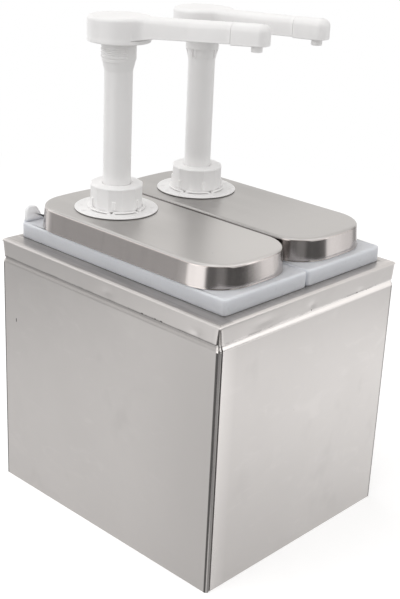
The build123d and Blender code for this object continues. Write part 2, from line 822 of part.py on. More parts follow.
for side, hand, swivel, neck_turn in (
    ("left", -1, left_swivel, left_neck_turn),
    ("right", 1, -right_swivel, right_neck_turn),
):
    jar_x = jar_shift + hand * jar_pitch / 2
    jar_seat = Plane(origin=(jar_x, jar_set_back, 0))
    pump_seat = Plane(
        origin=(jar_x, jar_set_back + pump_set_back, 0),
        x_dir=(cos(radians(swivel)), sin(radians(swivel)), 0),
        z_dir=(0, 0, 1),
    )
    neck_seat_plane = Plane(
        origin=pump_seat.origin,
        x_dir=(cos(radians(neck_turn)), sin(radians(neck_turn)), 0),
        z_dir=(0, 0, 1),
    )
    finish(make_jar(jar_seat), f"{side}_jar")
    finish(make_lid(jar_seat), f"{side}_lid")
    finish(make_pump_flange(pump_seat), f"{side}_pump_flange")
    finish(make_flange_gasket(pump_seat), f"{side}_flange_gasket")
    finish(make_flange_nut(pump_seat), f"{side}_flange_nut")
    finish(make_collar(pump_seat), f"{side}_collar")
    finish(make_barrel(pump_seat), f"{side}_cylinder")
    finish(make_guide_bush(pump_seat), f"{side}_guide_bush")
    finish(make_valve_cage(pump_seat), f"{side}_valve_cage")
    finish(make_dip_tube(pump_seat), f"{side}_dip_tube")
    finish(make_ball(pump_seat, inlet_seat), f"{side}_inlet_ball")
    finish(make_spring(pump_seat), f"{side}_spring")
    finish(make_piston(pump_seat), f"{side}_piston")
    finish(make_piston_seal(pump_seat), f"{side}_piston_seal")
    finish(make_ball(pump_seat, outlet_seat), f"{side}_outlet_ball")
    finish(make_stem(neck_seat_plane), f"{side}_stem")
    finish(make_head(pump_seat), f"{side}_head")
    finish(make_nozzle(pump_seat), f"{side}_nozzle")
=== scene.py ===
import math

import bmesh
import bpy
import numpy as np
from bpy.props import FloatProperty, FloatVectorProperty, IntProperty, PointerProperty
from mathutils import Matrix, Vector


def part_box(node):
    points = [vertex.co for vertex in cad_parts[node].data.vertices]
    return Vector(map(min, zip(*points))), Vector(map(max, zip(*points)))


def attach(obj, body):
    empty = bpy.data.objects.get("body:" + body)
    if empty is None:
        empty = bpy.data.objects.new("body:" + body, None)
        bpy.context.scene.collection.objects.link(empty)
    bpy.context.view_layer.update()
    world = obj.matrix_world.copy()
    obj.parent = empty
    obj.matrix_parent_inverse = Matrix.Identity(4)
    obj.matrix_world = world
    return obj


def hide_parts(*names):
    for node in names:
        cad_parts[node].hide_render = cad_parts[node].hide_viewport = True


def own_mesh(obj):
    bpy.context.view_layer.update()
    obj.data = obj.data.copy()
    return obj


bl_info = {
    "name": "Topping pump station",
    "version": (1, 0, 0),
    "blender": (4, 5, 0),
    "location": "3D View > Sidebar > Topping station",
    "description": "Builds the sheet steel box, its jars and lids, and their push-down pumps",
    "category": "Object",
}

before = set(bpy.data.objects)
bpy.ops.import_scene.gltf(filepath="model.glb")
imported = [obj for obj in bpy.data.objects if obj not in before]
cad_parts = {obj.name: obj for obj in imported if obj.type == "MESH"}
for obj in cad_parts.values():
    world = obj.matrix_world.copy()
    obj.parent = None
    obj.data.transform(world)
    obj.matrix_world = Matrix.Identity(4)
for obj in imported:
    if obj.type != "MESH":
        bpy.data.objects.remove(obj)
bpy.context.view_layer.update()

SIDES = ("left", "right")
MM = 0.001
WELD = 2e-6  # points nearer than this, in metres, are one
CRISP = 30  # gain of the attribute that marks edges
UPRIGHT = 0.6  # a face whose normal rises less than this counts as a wall
NEARLY_STRAIGHT = math.radians(179)
CUT = 0.3 * MM  # soft edge of cut sheet


# ------------------------------------------------------------------ places in the frame


def low(node):
    """Lowest corner of a node."""
    return np.array(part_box(node)[0])


def high(node):
    """Highest corner of a node."""
    return np.array(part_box(node)[1])


def plan_centre(node):
    """Middle of a node seen from above."""
    return ((low(node) + high(node)) / 2)[:2]


# ------------------------------------------------------------------ settings


def length(name, value, description):
    """A setting in metres."""
    return FloatProperty(name=name, description=description, default=value, min=0.0, unit="LENGTH", precision=5)


def tilt(name, degrees, description):
    """An angle setting, given in degrees."""
    return FloatProperty(name=name, description=description, default=math.radians(degrees), subtype="ANGLE")


def power(name, watts, description):
    """The power of a lamp."""
    return FloatProperty(name=name, description=description, default=watts, min=0.0, unit="POWER")


def tone(name, value, description):
    """A colour setting."""
    return FloatVectorProperty(
        name=name, description=description, default=value, size=3, subtype="COLOR", min=0.0, max=1.0
    )


class HousingSettings(bpy.types.PropertyGroup):
    """Sizes and colour of the folded box"""

    sheet: length("Sheet", 0.001, "Thickness of the steel sheet")
    bend: length("Bend", 0.0024, "Outside radius of a fold of the walls")
    frame_bend: length("Frame bend", 0.0024, "Outside radius of a fold of the top frame")
    notch_top: length("Notch at the fold", 0.0015, "Open corner of the skirts, at the fold")
    notch_foot: length("Notch at the edge", 0.0034, "Open corner of the skirts, at the lower edge")
    mouth_width: length("Mouth width", 0.1830, "Opening that the jars hang in")
    mouth_depth: length("Mouth depth", 0.2290, "Opening that the jars hang in")
    mouth_radius: length("Mouth corner", 0.010, "Corner radius of the opening")
    lip: length("Lip", 0.005, "Height of the turned-down lip of the opening")
    joggle: length("Joggle", 0.0046, "Height over which a wall steps in behind the skirts")
    lap: length("Lap", 0.0012, "How far a wall steps in")
    corner_face: length("Corner face", 0.003, "Plain face beside each lapped corner")
    seam: length("Seam", 0.0016, "Open line between that face and the next wall")
    flange: length("Flange", 0.013, "Width of the strip behind the next wall")
    colour: tone("Sheet colour", (0.60, 0.575, 0.56), "Colour of the box's sheet steel")


class JarSettings(bpy.types.PropertyGroup):
    """Sizes and colour of the jars"""

    rim_edge: length("Rim edge", 0.0018, "Round edge on top of the rim")
    rim_corner: length("Rim corner", 0.004, "Corner radius of the rim")
    wall: length("Wall", 0.0022, "Thickness of the jar")
    overhang_side: length("Side overhang", 0.0094, "Rim beyond the tub at the sides")
    overhang_end: length("End overhang", 0.010, "Rim beyond the tub at the ends")
    tub_corner: length("Tub corner", 0.030, "Corner radius of the tub")
    tub_foot: length("Tub foot", 0.006, "Radius round the foot of the tub")
    draft: tilt("Draft", 1.5, "Slope of the tub's walls")
    upstand: length("Upstand", 0.010, "Height of the ring that the lid sits round")
    upstand_wall: length("Upstand wall", 0.002, "Thickness of that ring")
    colour: tone("Jar colour", (0.785, 0.815, 0.895), "Colour of the milky jar plastic")


class LidSettings(bpy.types.PropertyGroup):
    """Sizes and colours of the lids"""

    sheet: length("Lid sheet", 0.0008, "Thickness of the lid")
    rise: length("Pressed top", 0.0011, "How far the pressed top stands above the pump's seat")
    edge: length("Lid edge", 0.0030, "Round edge on top of the lid")
    flare: tilt("Flare", 4.5, "Slope of the lid's wall")
    corner: length("Lid corner", 0.034, "Corner radius of the lid seen from above")
    crown: length("Crown", 0.004, "How far the rounded ends bulge")
    colour: tone("Lid colour", (0.49, 0.476, 0.464), "Colour of the lid's steel")
    # Painted reflection: the wall's steel is given a paler, warmer tone than the top's.
    wall_reflection_tint: tone("Lid wall colour", (0.528, 0.492, 0.477), "Colour of the steel on the lid's drawn wall")


class PumpSettings(bpy.types.PropertyGroup):
    """Sizes and colours of the pumps below their heads"""

    disc: length("Disc", 0.0708, "Diameter of the disc on the lid")
    ratchet: length("Ratchet", 0.049, "Diameter of the broken ring round the collar's foot")
    collar: length("Collar", 0.0433, "Width across the collar's flats")
    sides: IntProperty(name="Collar sides", description="Flat faces round the collar", default=12, min=3)
    tube: length("Tube", 0.0234, "Diameter of the plunger tube")
    neck: length("Neck", 0.0286, "Diameter of the neck under the head")
    barrel: length("Barrel", 0.0264, "Bore of the pump cylinder")
    plastic: tone("Pump colour", (0.88, 0.872, 0.868), "Colour of the moulded pump pieces")
    rubber: tone("Seal colour", (0.62, 0.61, 0.58), "Colour of the gasket and the seals")
    wire: tone("Wire colour", (0.55, 0.55, 0.56), "Colour of the spring and the balls")


class HeadSettings(bpy.types.PropertyGroup):
    """Sizes and colour of the hubs, arms and nozzles"""

    hub: length("Hub", 0.052, "Diameter of the hub")
    root: length("Arm root", 0.022, "Width of the arm at the pump axis")
    tip: length("Arm tip", 0.015, "Width of the arm at the nozzle")
    depth: length("Arm depth", 0.0156, "Height of the arm")
    blend: length("Blend", 0.012, "Radius between the hub and the arm")
    rise: tilt("Rise", 3.2, "Slope of the arm")
    turn_left: tilt("Left turn", 14.0, "Left arm towards the middle")
    # Painted light: the head's plastic is set paler than the pump's, 0.90 against 0.88, to brighten the arm's top.
    colour: tone("Head colour", (0.90, 0.892, 0.889), "Colour of the hub and the arm")


class StageSettings(bpy.types.PropertyGroup):
    """The lamps and the room"""

    key: power("Key light", 39.0, "Power of the large light above, on the left")
    fill: power("Fill light", 12.5, "Power of the light on the front right")
    ambient: FloatProperty(name="Ambient", description="Brightness of the room", default=0.50, min=0.0)


# ------------------------------------------------------------------ meshes


def build(name, parts, material, body, nodes, sharp=34.0, upright=None):
    """Makes one object from (points, faces) parts, welds it and lets it stand for CAD nodes.

    upright is a second material, for the faces whose normal rises less than UPRIGHT.

    The vertex attribute "edge" is one minus the length of the mean of the face normals
    round a vertex, times CRISP: 0 on a flat face and 1 on a crisp edge.
    """
    counts = np.cumsum([0] + [len(points) for points, _ in parts])
    points = np.concatenate([np.asarray(points, float).reshape(-1, 3) for points, _ in parts])
    faces = np.concatenate([quads + start for (_, quads), start in zip(parts, counts)])
    mesh = bpy.data.meshes.new(name)
    mesh.from_pydata(points.tolist(), [], faces.tolist())
    work = bmesh.new()
    work.from_mesh(mesh)
    bmesh.ops.remove_doubles(work, verts=work.verts, dist=WELD)
    bmesh.ops.dissolve_degenerate(work, edges=work.edges, dist=WELD / 20)
    bmesh.ops.recalc_face_normals(work, faces=work.faces)
    work.to_mesh(mesh)
    work.free()
    mesh.shade_smooth()
    mesh.set_sharp_from_angle(angle=math.radians(sharp))
    normals = np.zeros(len(mesh.polygons) * 3)
    mesh.polygons.foreach_get("normal", normals)
    normals = normals.reshape(-1, 3)
    corner_vertex = np.zeros(len(mesh.loops), int)
    mesh.loops.foreach_get("vertex_index", corner_vertex)
    totals = np.zeros(len(mesh.polygons), int)
    mesh.polygons.foreach_get("loop_total", totals)
    summed = np.zeros((len(mesh.vertices), 3))
    np.add.at(summed, corner_vertex, np.repeat(normals, totals, axis=0))
    touching = np.maximum(np.bincount(corner_vertex, minlength=len(mesh.vertices)), 1)
    crispness = 1 - np.linalg.norm(summed, axis=1) / touching
    edge = mesh.attributes.new("edge", "FLOAT", "POINT")
    edge.data.foreach_set("value", np.clip(crispness * CRISP, 0, 1).astype(np.float32))
    piece = bpy.data.objects.new(name, mesh)
    bpy.context.scene.collection.objects.link(piece)
    mesh.materials.append(material)
    if upright is not None:
        mesh.materials.append(upright)
        steep = np.abs(normals[:, 2]) < UPRIGHT
        mesh.polygons.foreach_set("material_index", steep.astype(np.int32))
    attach(piece, body)
    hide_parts(*nodes)
    return piece


def skin(rings, closed=False):
    """Quads between rings of equal count: ring i joins ring i + 1, and each ring is a loop.

    closed joins the last ring to the first, as for the wall of a tube.
    """
    rings = np.asarray(rings, float)
    rows, count = rings.shape[:2]
    index = np.arange(rows * count).reshape(rows, count)
    here = index if closed else index[:-1]
    above = np.roll(index, -1, axis=0) if closed else index[1:]
    quads = np.stack([here, np.roll(here, -1, axis=1), np.roll(above, -1, axis=1), above], axis=-1)
    return rings.reshape(-1, 3), quads.reshape(-1, 4)


def patch(grid):
    """Quads on an open grid of points."""
    grid = np.asarray(grid, float)
    rows, columns = grid.shape[:2]
    index = np.arange(rows * columns).reshape(rows, columns)
    quads = np.stack([index[:-1, :-1], index[:-1, 1:], index[1:, 1:], index[1:, :-1]], axis=-1)
    return grid.reshape(-1, 3), quads.reshape(-1, 4)


def capped(loops):
    """Loops with a loop of one point, their middle, before the first and after the last."""
    first, last = (np.broadcast_to(loop.mean(axis=0), loop.shape)[None] for loop in (loops[0], loops[-1]))
    return np.concatenate([first, loops, last])


def placed(flat, height):
    """A flat outline lifted to one height."""
    flat = np.asarray(flat, float)
    return np.column_stack([flat, np.broadcast_to(height, len(flat))])


def round_axis(centre, radius, bearing, level):
    """Points about an upright axis: radius r at bearing t lies at (r cos t, r sin t)."""
    x = centre[0] + radius * np.cos(bearing)
    y = centre[1] + radius * np.sin(bearing)
    return np.stack(np.broadcast_arrays(x, y, level), axis=-1)


def quarter(steps):
    """Angles a of a quarter turn. A round edge is inset r (1 - sin a), on by r (1 - cos a)."""
    return np.linspace(0, math.pi / 2, steps + 1)


def full_turn(count):
    """Bearings of one full turn, without its last."""
    return np.linspace(0, 2 * math.pi, count, endpoint=False)


def outline(centre, half_x, half_y, radius, bulge=0.0, side=12, end=12, corner=10):
    """Loop with straight sides, round corners and ends that bulge.

    The end is a circle through both shoulders and the bulge's top, of radius
    (half_x^2 + bulge^2) / (2 bulge). A corner is a circle that touches the side and, from
    inside, the end, so its centre lies (end radius - corner radius) from the end's centre.
    """
    reach = half_x - radius
    if bulge:
        end_radius = (half_x**2 + bulge**2) / (2 * bulge)
        end_centre = half_y - end_radius
        rise = math.sqrt((end_radius - radius) ** 2 - reach**2)
        corner_y = end_centre + rise
        touch = math.atan2(rise, reach)
    else:
        corner_y = half_y - radius
        touch = math.pi / 2
    turn = np.linspace(0, touch, corner + 1)
    arc = np.column_stack([reach + radius * np.cos(turn), corner_y + radius * np.sin(turn)])
    if bulge:
        sweep = np.linspace(touch, math.pi - touch, end + 1)[1:-1]
        cap = np.column_stack([end_radius * np.cos(sweep), end_centre + end_radius * np.sin(sweep)])
    else:
        across = np.linspace(reach, -reach, end + 1)[1:-1]
        cap = np.column_stack([across, np.full(end - 1, half_y)])
    upright = np.linspace(-corner_y, corner_y, side + 1)[1:-1]
    wall = np.column_stack([np.full(side - 1, half_x), upright])
    half = np.concatenate([wall, arc, cap, arc[::-1] * (-1, 1)])
    return np.concatenate([half, -half]) + centre


def soften(path, radii, steps=6, closed=True, support=0.35 * MM):
    """Profile with its corners rounded.

    A corner of radius r between two lines that meet at angle t becomes an arc that touches
    each line r / tan(t / 2) from the corner. A point just beyond each arc keeps the flats flat.
    """
    path = np.asarray(path, float)
    radii = np.broadcast_to(np.asarray(radii, float), len(path))
    pieces = []
    for here, (point, radius) in enumerate(zip(path, radii)):
        to_last = path[here - 1] - point
        to_next = path[(here + 1) % len(path)] - point
        span_last, span_next = np.linalg.norm(to_last), np.linalg.norm(to_next)
        to_last, to_next = to_last / span_last, to_next / span_next
        corner = math.acos(np.clip(np.dot(to_last, to_next), -1, 1))
        open_end = not closed and here in (0, len(path) - 1)
        if radius <= 0 or open_end or corner > NEARLY_STRAIGHT:
            pieces.append(point[None])
            continue
        touch = radius / math.tan(corner / 2)
        halfway = (to_last + to_next) / np.linalg.norm(to_last + to_next)
        centre = point + halfway * radius / math.sin(corner / 2)
        start = point + to_last * touch - centre
        finish = point + to_next * touch - centre
        turn = math.atan2(start[0] * finish[1] - start[1] * finish[0], np.dot(start, finish))
        sweep = np.linspace(0, turn, steps + 1)
        across = np.array([-start[1], start[0]])
        arc = centre + start * np.cos(sweep)[:, None] + across * np.sin(sweep)[:, None]
        if span_last > 2 * (touch + support):
            pieces.append((point + to_last * (touch + support))[None])
        pieces.append(arc)
        if span_next > 2 * (touch + support):
            pieces.append((point + to_next * (touch + support))[None])
    return np.concatenate(pieces)


def turned(centre, profile, segments=96, closed=True):
    """Rings of a turned piece: each (radius, height) of the profile goes once round."""
    radius, level = np.asarray(profile, float).T[..., None]
    return skin(round_axis(centre, radius, full_turn(segments), level), closed)


def plate(flat, axes, near, far, edge=0.5 * MM, steps=4):
    """Slab between two parallel planes with round edges.

    The outline is drawn in along its own normals by edge * (1 - sin a) as the height goes
    on by edge * (1 - cos a), and each end closes on the outline's middle. axes places
    the outline's first, second and third directions in the frame.
    """
    flat = np.asarray(flat, float)
    along = np.roll(flat, -1, axis=0) - np.roll(flat, 1, axis=0)
    normal = np.column_stack([along[:, 1], -along[:, 0]])
    normal = normal / np.maximum(np.linalg.norm(normal, axis=1, keepdims=True), 1e-12)
    area = np.sum(flat[:, 0] * np.roll(flat[:, 1], -1) - np.roll(flat[:, 0], -1) * flat[:, 1])
    normal = normal * np.sign(area)
    pole = np.tile(flat.mean(axis=0), (len(flat), 1))
    inset = edge * (1 - np.sin(quarter(steps)))
    depth = edge * (1 - np.cos(quarter(steps)))
    rings = [placed(pole, near)]
    rings += [placed(flat - normal * d, near + h) for d, h in zip(inset, depth)]
    rings += [placed(flat - normal * d, far - h) for d, h in zip(inset[::-1], depth[::-1])]
    rings += [placed(pole, far)]
    points, quads = skin(rings)
    return points @ np.asarray(axes, float), quads


# ------------------------------------------------------------------ materials


class Wire:
    """One socket of a node tree, used in sums as a number is."""

    def __init__(self, paint, socket):
        self.paint = paint
        self.socket = socket

    def combine(self, operation, first, second=0.0):
        """What a Math node makes of two values."""
        return self.paint.node("ShaderNodeMath", {"operation": operation}, {0: first, 1: second})

    def __add__(self, other):
        return self.combine("ADD", self, other)

    def __radd__(self, other):
        return self.combine("ADD", other, self)

    def __sub__(self, other):
        return self.combine("SUBTRACT", self, other)

    def __rsub__(self, other):
        return self.combine("SUBTRACT", other, self)

    def __mul__(self, other):
        return self.combine("MULTIPLY", self, other)

    def __rmul__(self, other):
        return self.combine("MULTIPLY", other, self)

    def __truediv__(self, other):
        return self.combine("DIVIDE", self, other)

    def __pow__(self, other):
        return self.combine("POWER", self, other)

    def __abs__(self):
        return self.combine("ABSOLUTE", self)

    def __lt__(self, other):
        return self.combine("LESS_THAN", self, other)

    def larger(self, other):
        """The larger of two values."""
        return self.combine("MAXIMUM", self, other)

    def ease(self, start, stop):
        """0 before start and 1 after stop, with a smooth step between."""
        settings = {"interpolation_type": "SMOOTHSTEP"}
        inputs = {"Value": self, "From Min": start, "From Max": stop, "To Min": 0.0, "To Max": 1.0}
        return self.paint.node("ShaderNodeMapRange", settings, inputs)

    def band(self, start, full, fade, stop):
        """0 before start, 1 from full to fade and 0 after stop."""
        return self.ease(start, full) * (1 - self.ease(fade, stop))


class Nodes:
    """A node tree under construction."""

    def __init__(self, tree):
        self.tree = tree

    def node(self, kind, settings=None, inputs=None, output=0):
        """Adds a node, with its settings first and then its inputs, and gives one output."""
        node = self.tree.nodes.new(kind)
        for key, value in (settings or {}).items():
            setattr(node, key, value)
        for key, value in (inputs or {}).items():
            self.feed(node.inputs[key], value)
        return Wire(self, node.outputs[output])

    def feed(self, socket, value):
        """Links a wire to a socket, or sets the socket to a constant."""
        if isinstance(value, Wire):
            self.tree.links.new(value.socket, socket)
        else:
            socket.default_value = value

    def outputs(self, wire, names):
        """Further outputs of the node that a wire comes from."""
        sockets = wire.socket.node.outputs
        return [Wire(self, sockets[name]) for name in names]

    def axes(self, vector):
        """The three numbers of a vector."""
        return self.outputs(self.node("ShaderNodeSeparateXYZ", inputs={"Vector": vector}), "XYZ")

    def rays(self):
        """1 for what the camera sees, straight or through glass, and 1 for what gloss sees."""
        names = ("Is Camera Ray", "Is Transmission Ray", "Is Glossy Ray")
        camera, glass, gloss = self.outputs(self.node("ShaderNodeLightPath"), names)
        return camera.larger(glass), gloss

    def mix(self, share, first, second):
        """Shader between two shaders, by share."""
        return self.node("ShaderNodeMixShader", None, {0: share, 1: first, 2: second})

    def ramp(self, value, stops):
        """Number that follows value through (place, level) stops."""
        ramp = self.node("ShaderNodeValToRGB", inputs={"Fac": value})
        elements = ramp.socket.node.color_ramp.elements
        while len(elements) < len(stops):
            elements.new(1.0)
        for element, (place, level) in zip(elements, stops):
            element.position = place
            element.color = (level, level, level, 1.0)
        return ramp


class Paint(Nodes):
    """A material under construction: its tree, its shader and the place of a point."""

    def __init__(self, name):
        self.material = bpy.data.materials.new(name)
        self.material.use_nodes = True
        super().__init__(self.material.node_tree)
        self.shader = next(n for n in self.tree.nodes if n.type == "BSDF_PRINCIPLED")
        self.place = self.node("ShaderNodeTexCoord", output="Object")
        self.x, self.y, self.z = self.axes(self.place)
        self.edge = self.node("ShaderNodeAttribute", {"attribute_name": "edge"}, output="Fac")

    def noise(self, scale, detail=2.0, stretch=(1, 1, 1), distortion=0.0, roughness=0.5):
        """Cloudy pattern of 0 to 1, with features of about one over scale metres."""
        place = self.node("ShaderNodeMapping", None, {"Vector": self.place, "Scale": stretch})
        inputs = {"Vector": place, "Scale": scale, "Detail": detail, "Roughness": roughness, "Distortion": distortion}
        return self.node("ShaderNodeTexNoise", None, inputs)

    def specks(self, scale, size, share):
        """1 on small round spots: one cell of the pattern in share carries a spot."""
        inputs = {"Vector": self.place, "Scale": scale, "Randomness": 1.0}
        near = self.node("ShaderNodeTexVoronoi", None, inputs, "Distance")
        colour = self.node("ShaderNodeTexVoronoi", None, inputs, "Color")
        chosen = self.node("ShaderNodeSeparateColor", None, {"Color": colour}, "Red")
        return (1 - near.ease(size * 0.5, size)) * (chosen < share)

    def blend(self, first, second, share):
        """Colour between two colours, by share. Sockets 0, 6, 7 and 2 are the colour ones."""
        inputs = {0: share, 6: colour_of(first), 7: colour_of(second)}
        return self.node("ShaderNodeMix", {"data_type": "RGBA"}, inputs, 2)

    def bump(self, height, strength, distance=0.3 * MM):
        """Gives the shader a fine relief."""
        inputs = {"Height": height, "Strength": strength, "Distance": distance}
        self.feed(self.shader.inputs["Normal"], self.node("ShaderNodeBump", None, inputs))

    def finish(self, colour, roughness, metallic=0.0, **constants):
        """Feeds the shader: what varies is linked, what doesn't is set on its own socket."""
        self.feed(self.shader.inputs["Base Color"], colour)
        self.feed(self.shader.inputs["Roughness"], roughness)
        self.shader.inputs["Metallic"].default_value = metallic
        for key, value in constants.items():
            self.shader.inputs[key.replace("_", " ")].default_value = value
        return self.material


def colour_of(value):
    """A colour as a socket takes it."""
    return value if isinstance(value, Wire) else (*value[:3], 1.0)


def scaled(colour, factor):
    """A colour made lighter or darker."""
    return tuple(min(1.0, max(0.0, channel * factor)) for channel in colour)


def satin_sheet(name, colour, grain=(1, 1, 14), wear_and_shade=()):
    """Satin sheet steel: soft clouds, a short grain, a few pin specks, edges brightened by use and by a painted
    highlight.

    wear_and_shade is a list of (marks, places) pairs: real marks, and painted shade and painted highlights. Each
    marks function is given the paint, the colour and roughness so far, the sheet's colour and its places, and gives
    back the two.
    """
    paint = Paint(name)
    clouds = paint.noise(13, 3, distortion=0.5)
    mottle = paint.noise(60, 4, roughness=0.6)
    fine = paint.noise(900, 3, stretch=grain, roughness=0.7)
    wipes = paint.noise(30, 3, stretch=(1, 1, 2.2), distortion=1.2).ease(0.55, 0.75)
    pins = paint.specks(60, 0.05, 0.10)
    smudge = paint.noise(42, 2, stretch=(1, 1, 0.7)).ease(0.56, 0.76) * paint.noise(9, 1).ease(0.46, 0.62)
    light = 0.50 * clouds + 0.35 * mottle + 0.15 * fine
    base = paint.blend(scaled(colour, 0.93), scaled(colour, 1.06), light)
    base = paint.blend(base, scaled(colour, 1.07), 0.35 * wipes)
    base = paint.blend(base, scaled(colour, 0.90), 0.5 * smudge)
    base = paint.blend(base, scaled(colour, 0.50), 0.5 * pins)
    # Edges: brightened by use, and a painted highlight.
    base = paint.blend(base, scaled(colour, 1.30), 0.55 * paint.edge)
    rough = 0.27 + 0.07 * mottle + 0.05 * fine - 0.03 * wipes - 0.05 * paint.edge
    for marks, places in wear_and_shade:
        base, rough = marks(paint, base, rough, colour, *places)
    paint.bump(0.6 * mottle + 0.4 * fine, 0.08)
    return paint.finish(base, rough, 1.0)


def sheared_edge(paint, base, rough, colour, half_width, foot):
    """Grime and dark nicks along the edge at height foot, and a painted shadow line along it on its two sides."""
    off = abs(paint.z - foot)
    beside = (abs(paint.x) - half_width).ease(-2.0 * MM, -1.5 * MM)
    near = 1 - off.ease(0.4 * MM, 2.2 * MM)
    nicks = paint.specks(230, 0.42, 0.16) * paint.noise(24, 2).ease(0.50, 0.62) * near
    grime = near * paint.noise(90, 3).ease(0.45, 0.65)
    base = paint.blend(base, scaled(colour, 0.50), 0.60 * grime)
    # Painted shadow: a dark line along the foot on the two sides.
    base = paint.blend(base, scaled(colour, 0.30), 0.85 * beside * (1 - off.ease(0.4 * MM, 1.5 * MM)))
    base = paint.blend(base, scaled(colour, 0.12), 0.9 * nicks)
    return base, rough + 0.25 * nicks + 0.10 * grime


def rim_shade_and_streaks(paint, base, rough, colour, left, right, front, rear, top):
    """Painted shade round the jars' rims, which fill the box left to right and front to rear: a painted contact
    shadow at their foot and a streaked darker band beside them, a painted reflection.

    The gap from that box is the larger of |x - middle| - half width and the same in y. The
    wide border beside the left rim, at height top, is streaked all over and painted darker all over, a painted
    reflection.
    """
    beside = abs(paint.x - (left + right) / 2) - (right - left) / 2
    beyond = abs(paint.y - (front + rear) / 2) - (rear - front) / 2
    gap = beside.larger(beyond)
    streaks = paint.noise(150, 3, stretch=(3, 0.12, 1), roughness=0.6).ease(0.35, 0.65)
    shade = (1 - gap.ease(1.5 * MM, 8.5 * MM)) * (0.45 + 0.55 * streaks)
    wide = (paint.z - top).ease(-1.2 * MM, -0.2 * MM) * (1 - (paint.x - left).ease(-3.0 * MM, 0.0))
    # Painted reflection and shade: a darker band near the rims, with real streaks.
    base = paint.blend(base, scaled(colour, 0.50), 0.55 * shade * (1 - wide))
    # Painted reflection: the wide left border darker, with real streaks.
    base = paint.blend(base, scaled(colour, 0.66), wide * (0.40 + 0.60 * streaks))
    # Painted contact shadow at the rims' foot.
    return paint.blend(base, scaled(colour, 0.15), 0.45 * (1 - gap.ease(0.5 * MM, 1.8 * MM))), rough


def dark_nicks(paint, base, rough, colour, *nicks):
    """Small dark ovals on the front and the left side: 1 up to 0.4 and 0 from 1.1 of (r / size)^2."""
    for axis, along, level, half_length, half_height in nicks:
        run, outward = (paint.x, paint.y) if axis == "x" else (paint.y, paint.x)
        off = ((run - along * MM) / (half_length * MM)) ** 2 + ((paint.z - level * MM) / (half_height * MM)) ** 2
        base = paint.blend(base, scaled(colour, 0.10), 0.9 * (1 - off.ease(0.4, 1.1)) * (outward < NEAR_FACES))
    return base, rough


def stepped_wall(paint, base, rough, colour, half_width, half_depth, skirt_foot):
    """Painted shade and painted highlights where a wall steps in: its joggle, the lap behind the next wall, the
    corner's face.

    inside and deep are distances inside the side and front faces, and level is the height
    over the skirt's foot. The joggle is painted dark on the two sides and painted bright in front and behind, a
    painted glint runs down the corner, and the side walls are painted darker towards the front.
    """
    inside, deep = half_width - abs(paint.x), half_depth - abs(paint.y)
    level = paint.z - skirt_foot
    side = 1 - inside.ease(1.6 * MM, 2.0 * MM)
    # Painted shade: the side walls darker towards the front.
    base = paint.blend(base, scaled(colour, 0.88), side * (1 - paint.y.ease(-0.125, -0.03)))
    face = inside.band(0.8 * MM, 1.4 * MM, 3.1 * MM, 3.3 * MM) * (1 - deep.ease(0.8 * MM, 1.0 * MM))
    # Painted shade on the corner's face.
    base = paint.blend(base, scaled(colour, 0.38), 0.9 * face)
    glint = (1 - inside.ease(0.3 * MM, 0.6 * MM)) * deep.band(0.5 * MM, 0.8 * MM, 1.9 * MM, 2.3 * MM)
    # Painted highlight down the corner.
    base = paint.blend(base, scaled(colour, 1.45), glint)
    lap = deep.band(0.9 * MM, 1.05 * MM, 2.6 * MM, 3.0 * MM) * (1 - level.ease(-5.6 * MM, -5.0 * MM))
    behind = lap.larger(level.ease(0.0, 0.6 * MM))
    # Painted shade behind the skirts and on the lap.
    base = paint.blend(base, scaled(colour, 0.22), behind)
    shadow = side * level.ease(-5.8 * MM, -3.0 * MM) * deep.ease(3.0 * MM, 4.0 * MM)
    # Painted shade on the joggle at the two sides.
    base = paint.blend(base, scaled(colour, 0.60), 0.8 * shadow)
    # Painted highlight on the joggle in front and behind.
    base = paint.blend(base, scaled(colour, 1.6), 0.8 * (1 - side) * level.ease(-6.2 * MM, -4.5 * MM))
    return base, rough + 0.3 * behind


def drawn_lid(name, colour, pump, seam):
    """Top of a drawn steel lid: fine satin, clouds, haze by the pump, a painted highlight on its round edge and
    painted shade along the seam.

    The top is painted paler towards the front, a painted reflection, and painted darker within 5 mm on the left of
    the seam, a painted shade.
    """
    paint = Paint(name)
    clouds = paint.noise(14, 3, distortion=0.8)
    mottle = paint.noise(110, 4, roughness=0.6)
    fine = paint.noise(1100, 2, stretch=(9, 1, 1), roughness=0.7)
    from_pump = ((paint.x - pump[0]) ** 2 + (paint.y - pump[1]) ** 2) ** 0.5
    haze = (1 - from_pump.ease(0.035, 0.12)) * paint.noise(26, 2, stretch=(1, 0.2, 1)).ease(0.3, 0.7)
    pins = paint.specks(60, 0.05, 0.08)
    light = 0.45 * clouds + 0.35 * mottle + 0.20 * fine
    front_reflection = 1 - (paint.y - pump[1]).ease(-0.15, -0.05)
    base = paint.blend(scaled(colour, 0.93), scaled(colour, 1.07), light)
    # Painted reflection: paler towards the front.
    base = paint.blend(base, scaled(colour, 1.16), 0.8 * front_reflection)
    base = paint.blend(base, scaled(colour, 0.82), 0.45 * haze)
    base = paint.blend(base, scaled(colour, 0.60), 0.4 * pins)
    seam_shade = (paint.x - seam).band(-5.0 * MM, -4.4 * MM, -0.5 * MM, 0.0)
    # Painted highlight on the round edge, left out by the seam.
    base = paint.blend(base, scaled(colour, 1.25), 0.35 * paint.edge * (1 - seam_shade))
    # Painted shade along the seam.
    base = paint.blend(base, scaled(colour, 0.55), 0.8 * seam_shade)
    rough = 0.29 + 0.07 * mottle + 0.05 * haze - 0.03 * paint.edge
    paint.bump(0.5 * mottle + 0.5 * fine, 0.05)
    return paint.finish(base, rough, 1.0)


